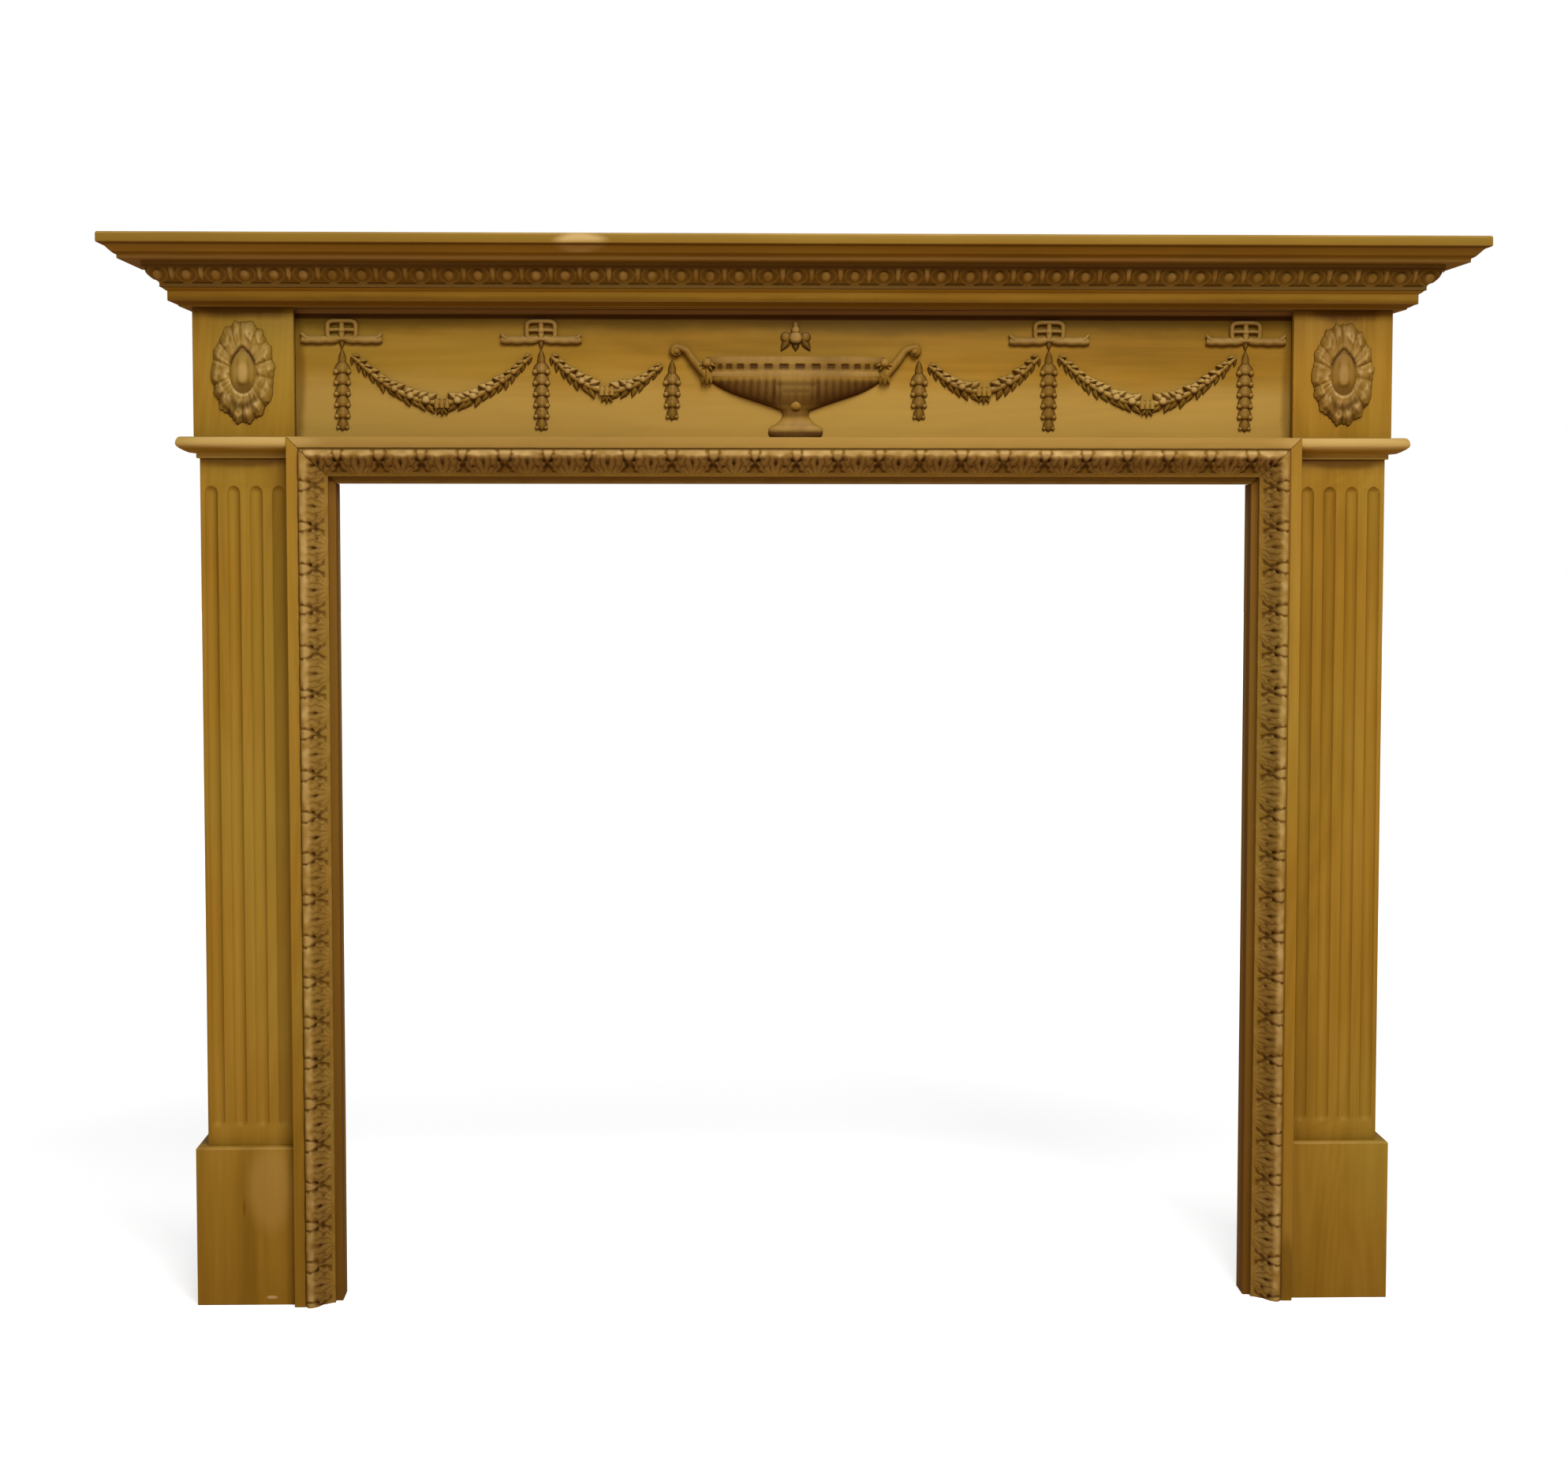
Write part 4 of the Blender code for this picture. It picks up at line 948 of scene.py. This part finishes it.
# radius and height of the turned shape, as shares of the rim's, upwards from the foot
urnShape = [
    (0.270, 0.000), (0.297, 0.012), (0.307, 0.040), (0.308, 0.070), (0.302, 0.100), (0.284, 0.125),
    (0.254, 0.143), (0.222, 0.160), (0.196, 0.182), (0.175, 0.212), (0.158, 0.240), (0.148, 0.268),
    (0.151, 0.292), (0.168, 0.325),
    (0.290, 0.375), (0.460, 0.440), (0.610, 0.495), (0.710, 0.535), (0.790, 0.575), (0.880, 0.630),
    (0.940, 0.675), (0.968, 0.710), (0.980, 0.745), (0.996, 0.758), (0.996, 0.792), (0.982, 0.805),
    (0.976, 0.820), (0.976, 0.900), (0.982, 0.915), (1.000, 0.930), (1.000, 1.000), (0.960, 1.000),
]  # fmt: skip


def makeUrn():
    look = urnWork
    bm = bmesh.new()
    verts = [bm.verts.new((-look["rimRadius"] * r, 0.0, look["rimRise"] * z)) for r, z in urnShape]
    edges = [bm.edges.new(pair) for pair in zip(verts, verts[1:])]
    bmesh.ops.subdivide_edges(bm, edges=edges, cuts=1)
    bmesh.ops.spin(
        bm,
        geom=bm.verts[:] + bm.edges[:],
        cent=(0.0, 0.0, 0.0),
        axis=(0.0, 0.0, 1.0),
        dvec=(0.0, 0.0, 0.0),
        angle=math.pi,
        steps=208,
        use_merge=False,
        use_normal_flip=False,
        use_duplicate=False,
    )
    recess = bm.verts.layers.float.new("recess")
    worn = bm.verts.layers.float.new("worn")
    for vert in bm.verts:
        radius = math.hypot(vert.co.x, vert.co.y)
        angle = math.atan2(-vert.co.y, vert.co.x)
        rise = vert.co.z / look["rimRise"]
        share = radius / look["rimRadius"]
        depth = look["relief"] * (0.28 + 0.72 * share**0.8)
        lobe = abs(math.sin(math.pi * vert.co.x / look["flutePitch"]))
        inBowl = smoothStep(0.33, 0.40, rise) * (1 - smoothStep(0.67, 0.75, rise))
        fromMiddle = abs(vert.co.x) / look["panel"]
        inPanel = 1 - smoothStep(0.9, 1.0, fromMiddle)
        border = hump(fromMiddle, 1.06, 0.09) + hump(fromMiddle, 0.78, 0.07) * 0.7
        border += hump(rise, 0.645, 0.018) * inPanel * 0.6
        border += hump(rise, 0.560, 0.018) * smoothStep(0.7, 0.6, fromMiddle) * 0.4
        border *= smoothStep(0.40, 0.47, rise)
        hollow = max((1 - lobe**0.7) * (1 - 0.70 * inPanel), min(border, 1.0)) * inBowl
        tooth = smoothStep(-0.35, 0.15, math.sin(look["dentils"] * angle))
        inBand = smoothStep(0.815, 0.83, rise) * (1 - smoothStep(0.895, 0.91, rise))
        pit = tooth * inBand
        out = depth * math.sin(max(angle, 0.0)) * (1 - 0.15 * hollow - 0.16 * pit)
        vert.co.y = -out
        turned = 1 - math.sin(max(angle, 0.0))  # rises towards the sides
        lowDown = smoothStep(0.66, 0.40, rise)
        shade = look["bowlShade"] + (0.70 - rise) * 0.65 + turned**1.5 * 0.5
        shade = inBowl * (shade - inPanel * (0.14 - lowDown * 0.1))
        vert[recess] = min(1.0, hollow * 0.34 + pit * 0.60 + inBand * 0.52 + shade)
        if 0.75 < rise < 0.81 or rise > 0.925:
            vert[worn] = 0.26
            vert[recess] = 0.26
        if rise < 0.36:
            # foot: painted shade at the disc's lower edge, in the step over it and round the waist, and
            # painted highlight on the disc's front
            disc = smoothStep(0.045, 0.100, rise)
            step = hump(rise, 0.150, 0.020) * 0.28
            waist = smoothStep(0.215, 0.27, rise) * 0.62
            vert[recess] = max((1 - disc) * 0.92, step, waist, vert[recess])
            vert[worn] = disc * (1 - smoothStep(0.17, 0.24, rise)) * 0.30 * (1 - turned)
    rims = [edge for edge in bm.edges if edge.is_boundary]
    bmesh.ops.holes_fill(bm, edges=rims, sides=0)
    addBead(bm, (0.0, look["rimRise"] * 0.395), 0.0080, lift=look["relief"] * 0.38, flat=0.8)
    for sign in sides.values():
        scroll, bar = look["scroll"], look["handle"]
        centre = Vector((look["handleReach"] - scroll - bar, look["handleTop"] - scroll - bar))
        root = Vector((look["rimRadius"] - 0.002, look["rimRise"] - 0.026))
        points = [root, root + Vector((0.011, 0.012)), root + Vector((0.022, 0.026))]
        points.append(centre + Vector((-0.013, 0.001)))
        for step in range(8):
            angle = math.radians(112 - 42 * step)
            points.append(centre + scroll * (1 - 0.07 * step) * Vector((math.cos(angle), math.sin(angle))))
        radii = [bar * 1.25, bar * 1.15, bar, bar * 0.95] + [bar * (1 - 0.055 * step) for step in range(8)]
        addStrap(bm, [(sign * p.x, p.y) for p in points], radii, lift=bar)
        addBead(bm, (sign * centre.x, centre.y), scroll * 0.85, lift=bar * 1.3)
        maskWide, maskHigh = look["mask"]
        x, top = sign * look["rimRadius"], look["rimRise"] - 0.002
        # a leafy boss over a hanging husk
        boss = (x, top - 0.006)
        for turn in (-70, -35, 0, 35, 70):
            addLeaf(bm, boss, math.radians(turn), maskWide * 0.52, maskWide * 0.36, 0.0056, lift=0.0075)
        addBead(bm, boss, 0.0062, lift=0.0100)
        for turn in (-16, 16, 0):
            lift = 0.0080 if turn == 0 else 0.0050
            long, wide = maskHigh * 0.64, maskWide * 0.50
            addLeaf(bm, (x, top - 0.012), math.radians(turn), long, wide, 0.0060, lift=lift)
    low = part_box("urn")[0]
    plantCarving("urn", bm, (0.0, friezeFace, low.z), look["relief"], 0.12, 50.0, rubAndHighlight=0.12)


makeUrn()
print("urn carved")


# Small ornament that hangs over the urn

finialWork = {
    "dropFromTop": 0.036,
    "relief": 0.0075,
    "bud": 0.0088,
    "leaf": (0.0188, 0.0130),  # length and width of a drooping side leaf
}


def makeFinial():
    look = finialWork
    bm = bmesh.new()
    long, wide = look["leaf"]
    addStrap(bm, [(0.0, 0.0205), (0.0, 0.013), (0.0, 0.005)], [0.0030, 0.0044, 0.0050], lift=0.0020)
    addBead(bm, (0.0, 0.0100), 0.0056, lift=0.0022)
    for sign in sides.values():
        addBead(bm, (sign * 0.0125, 0.0015), 0.0068, lift=0.0, flat=0.75)
        addLeaf(bm, (sign * 0.0080, 0.0), sign * math.radians(34), long, wide, 0.0044, curl=0.2)
    addBead(bm, (0.0, 0.0005), look["bud"], lift=0.0010)
    addLeaf(bm, (0.0, -0.0040), 0.0, 0.0120, 0.0120, 0.0046, curl=0.0)
    place = (0.0, friezeFace, friezeTop - look["dropFromTop"])
    plantCarving("urn_finial", bm, place, look["relief"], 0.80, rubAndHighlight=0.38)


makeFinial()
print("finial carved")


# Oval paterae on the end blocks

pateraWork = {
    "half": (0.0405, 0.0665),
    "relief": 0.012,
    "leaves": 14,
    "heart": 0.42,  # the pointed oval in the middle, as a share of the whole
}


def makePatera(nodeName):
    look = pateraWork
    low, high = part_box(nodeName)
    bm = bmesh.new()
    rings = 44
    verts = [bm.verts.new((0.02 + 0.98 * i / rings, 0.0, 0.0)) for i in range(rings + 1)]
    edges = [bm.edges.new(pair) for pair in zip(verts, verts[1:])]
    bmesh.ops.spin(
        bm,
        geom=verts + edges,
        cent=(0.0, 0.0, 0.0),
        axis=(0.0, 1.0, 0.0),
        dvec=(0.0, 0.0, 0.0),
        angle=2 * math.pi,
        steps=256,
        use_merge=True,
        use_normal_flip=False,
        use_duplicate=False,
    )
    bmesh.ops.holes_fill(bm, edges=[edge for edge in bm.edges if edge.is_boundary], sides=0)
    recess = bm.verts.layers.float.new("recess")
    worn = bm.verts.layers.float.new("worn")
    halfX, halfZ = look["half"]
    for vert in bm.verts:
        r = math.hypot(vert.co.x, vert.co.z)
        angle = math.atan2(vert.co.z, vert.co.x)
        sway = noise.noise(Vector((math.cos(angle) * 2.4, math.sin(angle) * 2.4, 9.1))) * 0.24
        lobe = abs(math.cos(look["leaves"] / 2 * (angle + sway))) ** 0.6
        tooth = abs(math.cos(look["leaves"] * (angle + sway))) ** 0.7
        outer = smoothStep(0.66, 1.0, r)
        edge = 1 - 0.085 * outer * (1 - lobe) - 0.045 * outer * (1 - tooth)
        # the notches are painted darker on the lower side, as shade, and the leaves paler on the upper side,
        # as highlight
        lower = smoothStep(0.45, -0.75, math.sin(angle))
        peak = hump(angle, math.pi / 2, 0.30)
        arch = hump(r, look["heart"] * (0.96 + 0.16 * peak), 0.040)
        arch *= smoothStep(0.15, 0.60, math.sin(angle))
        height, deep, rubbedAndLit = 0.0, 0.0, 0.0
        heart = look["heart"]
        down = smoothStep(0.45, 0.95, -math.sin(angle))  # towards the lower end, where more shade is painted
        grain = noise.noise(Vector((vert.co.x * 9.0, 2.2, vert.co.z * 9.0)))
        if r > heart:
            t = (r - heart) / (1 - heart)
            rib = abs(math.sin(look["leaves"] * (angle + sway))) ** 0.7
            curl = 0.5 + 0.5 * math.cos(2 * math.pi * (t * 1.7 - 0.15 + sway * 2 + grain * 0.3))
            height = 0.42 + 0.34 * math.sin(math.pi * min(t * 1.05, 1.0)) - 0.18 * t
            height -= 0.19 * (1 - lobe) ** 1.5 * smoothStep(0.10, 0.5, t) + 0.08 * (1 - rib) * lobe
            height += 0.10 * curl * lobe + grain * 0.10
            deep = (1 - lobe) ** 1.4 * smoothStep(0.25, 0.95, t) * 0.75 + (1 - rib) * lobe * 0.14
            deep += (1 - tooth) ** 2 * smoothStep(0.60, 0.95, t) * 0.50 + smoothStep(0.80, 1.0, t) * 0.16
            deep += (1 - curl) * 0.12 + (1 - smoothStep(0.0, 0.10, t)) * 0.20
            deep *= 0.34 + 0.66 * lower
            deep += down * hump(t, 0.36, 0.16) * 0.60
            rubbedAndLit = max(curl, 0.55 - lower) * lobe * (0.52 + grain * 0.8) * (1 - smoothStep(0.60, 0.95, t))
            smile = down * (1 - smoothStep(0.02, 0.16, t))
            height += smile * 0.16
            rubbedAndLit = max(rubbedAndLit, smile * 0.9, 0.0)
        else:
            t = r / heart
            height = 0.36 + 0.40 * (1 - t**2) ** 0.7 * (1 - 0.75 * down * smoothStep(0.45, 0.7, t))
            deep = smoothStep(0.62, 1.0, t) * 0.42 * (1 - down) + down * smoothStep(0.50, 0.72, t) * 0.62
            seam = hump(abs(math.cos(angle)) * t, 0.40, 0.13) * (1 - smoothStep(0.5, 0.8, t))
            height -= seam * 0.07
            deep += seam * 0.30
            rubbedAndLit = (1 - smoothStep(0.20, 0.60, t)) * 0.50
        height -= arch * 0.08
        deep += arch * 0.80
        rubbedAndLit *= 1 - arch
        if r > 0.985:
            height = 0.0
        x, z = halfX * r * edge * math.cos(angle), halfZ * r * edge * math.sin(angle)
        vert.co = (x, -look["relief"] * height, z)
        vert[recess] = max(0.0, min(1.0, deep))
        vert[worn] = max(0.0, rubbedAndLit)
    place = ((low.x + high.x) / 2, high.y, (low.z + high.z) / 2)
    plantCarving(nodeName, bm, place, look["relief"], 0.10, 60.0)


for side in sides:
    makePatera(f"patera_{side}")
print("paterae carved")


# Floor, light and camera

studio = {
    "floorColour": (0.80, 0.80, 0.80),
    "floorGlow": (0.56, 0.56, 0.56),
    "farGlow": (1.0, 1.0, 1.0),
    "glowReach": (1.1, 4.0),
    "floorBounce": (0.66, 0.46, 0.28),
    "background": (1.0, 1.0, 1.0),
    "ambient": 0.30,
    "keyPlace": (0.7, -2.9, 3.6),
    "keySize": 2.2,
    "keyPower": 195.0,
    "fillPlace": (-2.6, -3.2, 1.6),
    "fillSize": 2.6,
    "fillPower": 14.0,
}


def makeStudio():
    look = studio
    world = bpy.data.worlds.new("studio")
    bpy.context.scene.world = world
    world.use_nodes = True
    tree = world.node_tree
    start = Wire(tree)
    seen = start.add("ShaderNodeLightPath", output="Is Camera Ray")
    background = tree.nodes["Background"]
    background.inputs["Color"].default_value = (*look["background"], 1.0)
    strength = look["ambient"] + seen * (1.0 - look["ambient"])
    tree.links.new(strength.socket, background.inputs["Strength"])

    bm = bmesh.new()
    bmesh.ops.create_grid(bm, x_segments=1, y_segments=1, size=30.0)
    mesh = bpy.data.meshes.new("floor")
    bm.to_mesh(mesh)
    bm.free()
    floor = bpy.data.objects.new("floor", mesh)
    bpy.context.scene.collection.objects.link(floor)
    material = bpy.data.materials.new("paleFloor")
    material.use_nodes = True
    floorTree = material.node_tree
    floorStart = Wire(floorTree)
    seen = floorStart.add("ShaderNodeLightPath", output="Is Camera Ray")
    dim = floorStart.add("ShaderNodeRGB")
    dim.socket.default_value = (*look["floorBounce"], 1.0)
    shader = floorTree.nodes["Principled BSDF"]
    floorTree.links.new(dim.blend(seen, look["floorColour"]).socket, shader.inputs["Base Color"])
    dark = floorStart.add("ShaderNodeRGB")
    dark.socket.default_value = (0.0, 0.0, 0.0, 1.0)
    glow = floorStart.add("ShaderNodeRGB")
    glow.socket.default_value = (*look["floorGlow"], 1.0)
    spot = floorStart.add("ShaderNodeTexCoord", output="Object")
    away = spot.add("ShaderNodeVectorMath", {"operation": "LENGTH"}, {0: spot}, output="Value")
    lit = dark.blend(seen, glow.blend(away.between(*look["glowReach"]), look["farGlow"]))
    floorTree.links.new(lit.socket, shader.inputs["Emission Color"])
    shader.inputs["Emission Strength"].default_value = 1.0
    shader.inputs["Roughness"].default_value = 0.95
    shader.inputs["Specular IOR Level"].default_value = 0.0
    mesh.materials.append(material)

    for name in ("key", "fill"):
        light = bpy.data.lights.new(name, "AREA")
        light.energy = look[name + "Power"]
        light.size = look[name + "Size"]
        lamp = bpy.data.objects.new(name, light)
        bpy.context.scene.collection.objects.link(lamp)
        lamp.location = look[name + "Place"]
        aim = Vector((0.0, 0.0, 0.75)) - lamp.location
        lamp.rotation_euler = aim.to_track_quat("-Z", "Y").to_euler()


makeStudio()

cameraView = {
    "place": (-0.1245, -3.7895, 0.9931),
    "turn": 0.02894,  # radians to the right
    "tilt": 0.0683,  # radians down
    "roll": 0.0006,
    "lens": 69.05,
}


def makeCamera():
    look = cameraView
    data = bpy.data.cameras.new("photoView")
    data.sensor_width = 36.0
    data.lens = look["lens"]
    data.clip_end = 100.0
    camera = bpy.data.objects.new("photoView", data)
    bpy.context.scene.collection.objects.link(camera)
    level = math.cos(look["tilt"])
    ahead = Vector((math.sin(look["turn"]) * level, math.cos(look["turn"]) * level, -math.sin(look["tilt"])))
    upright = ahead.to_track_quat("-Z", "Y").to_matrix() @ Matrix.Rotation(look["roll"], 3, "Z")
    camera.matrix_world = Matrix.Translation(look["place"]) @ upright.to_4x4()
    bpy.context.scene.camera = camera


makeCamera()
bpy.context.scene.view_settings.view_transform = "Standard"
print("studio and camera set")
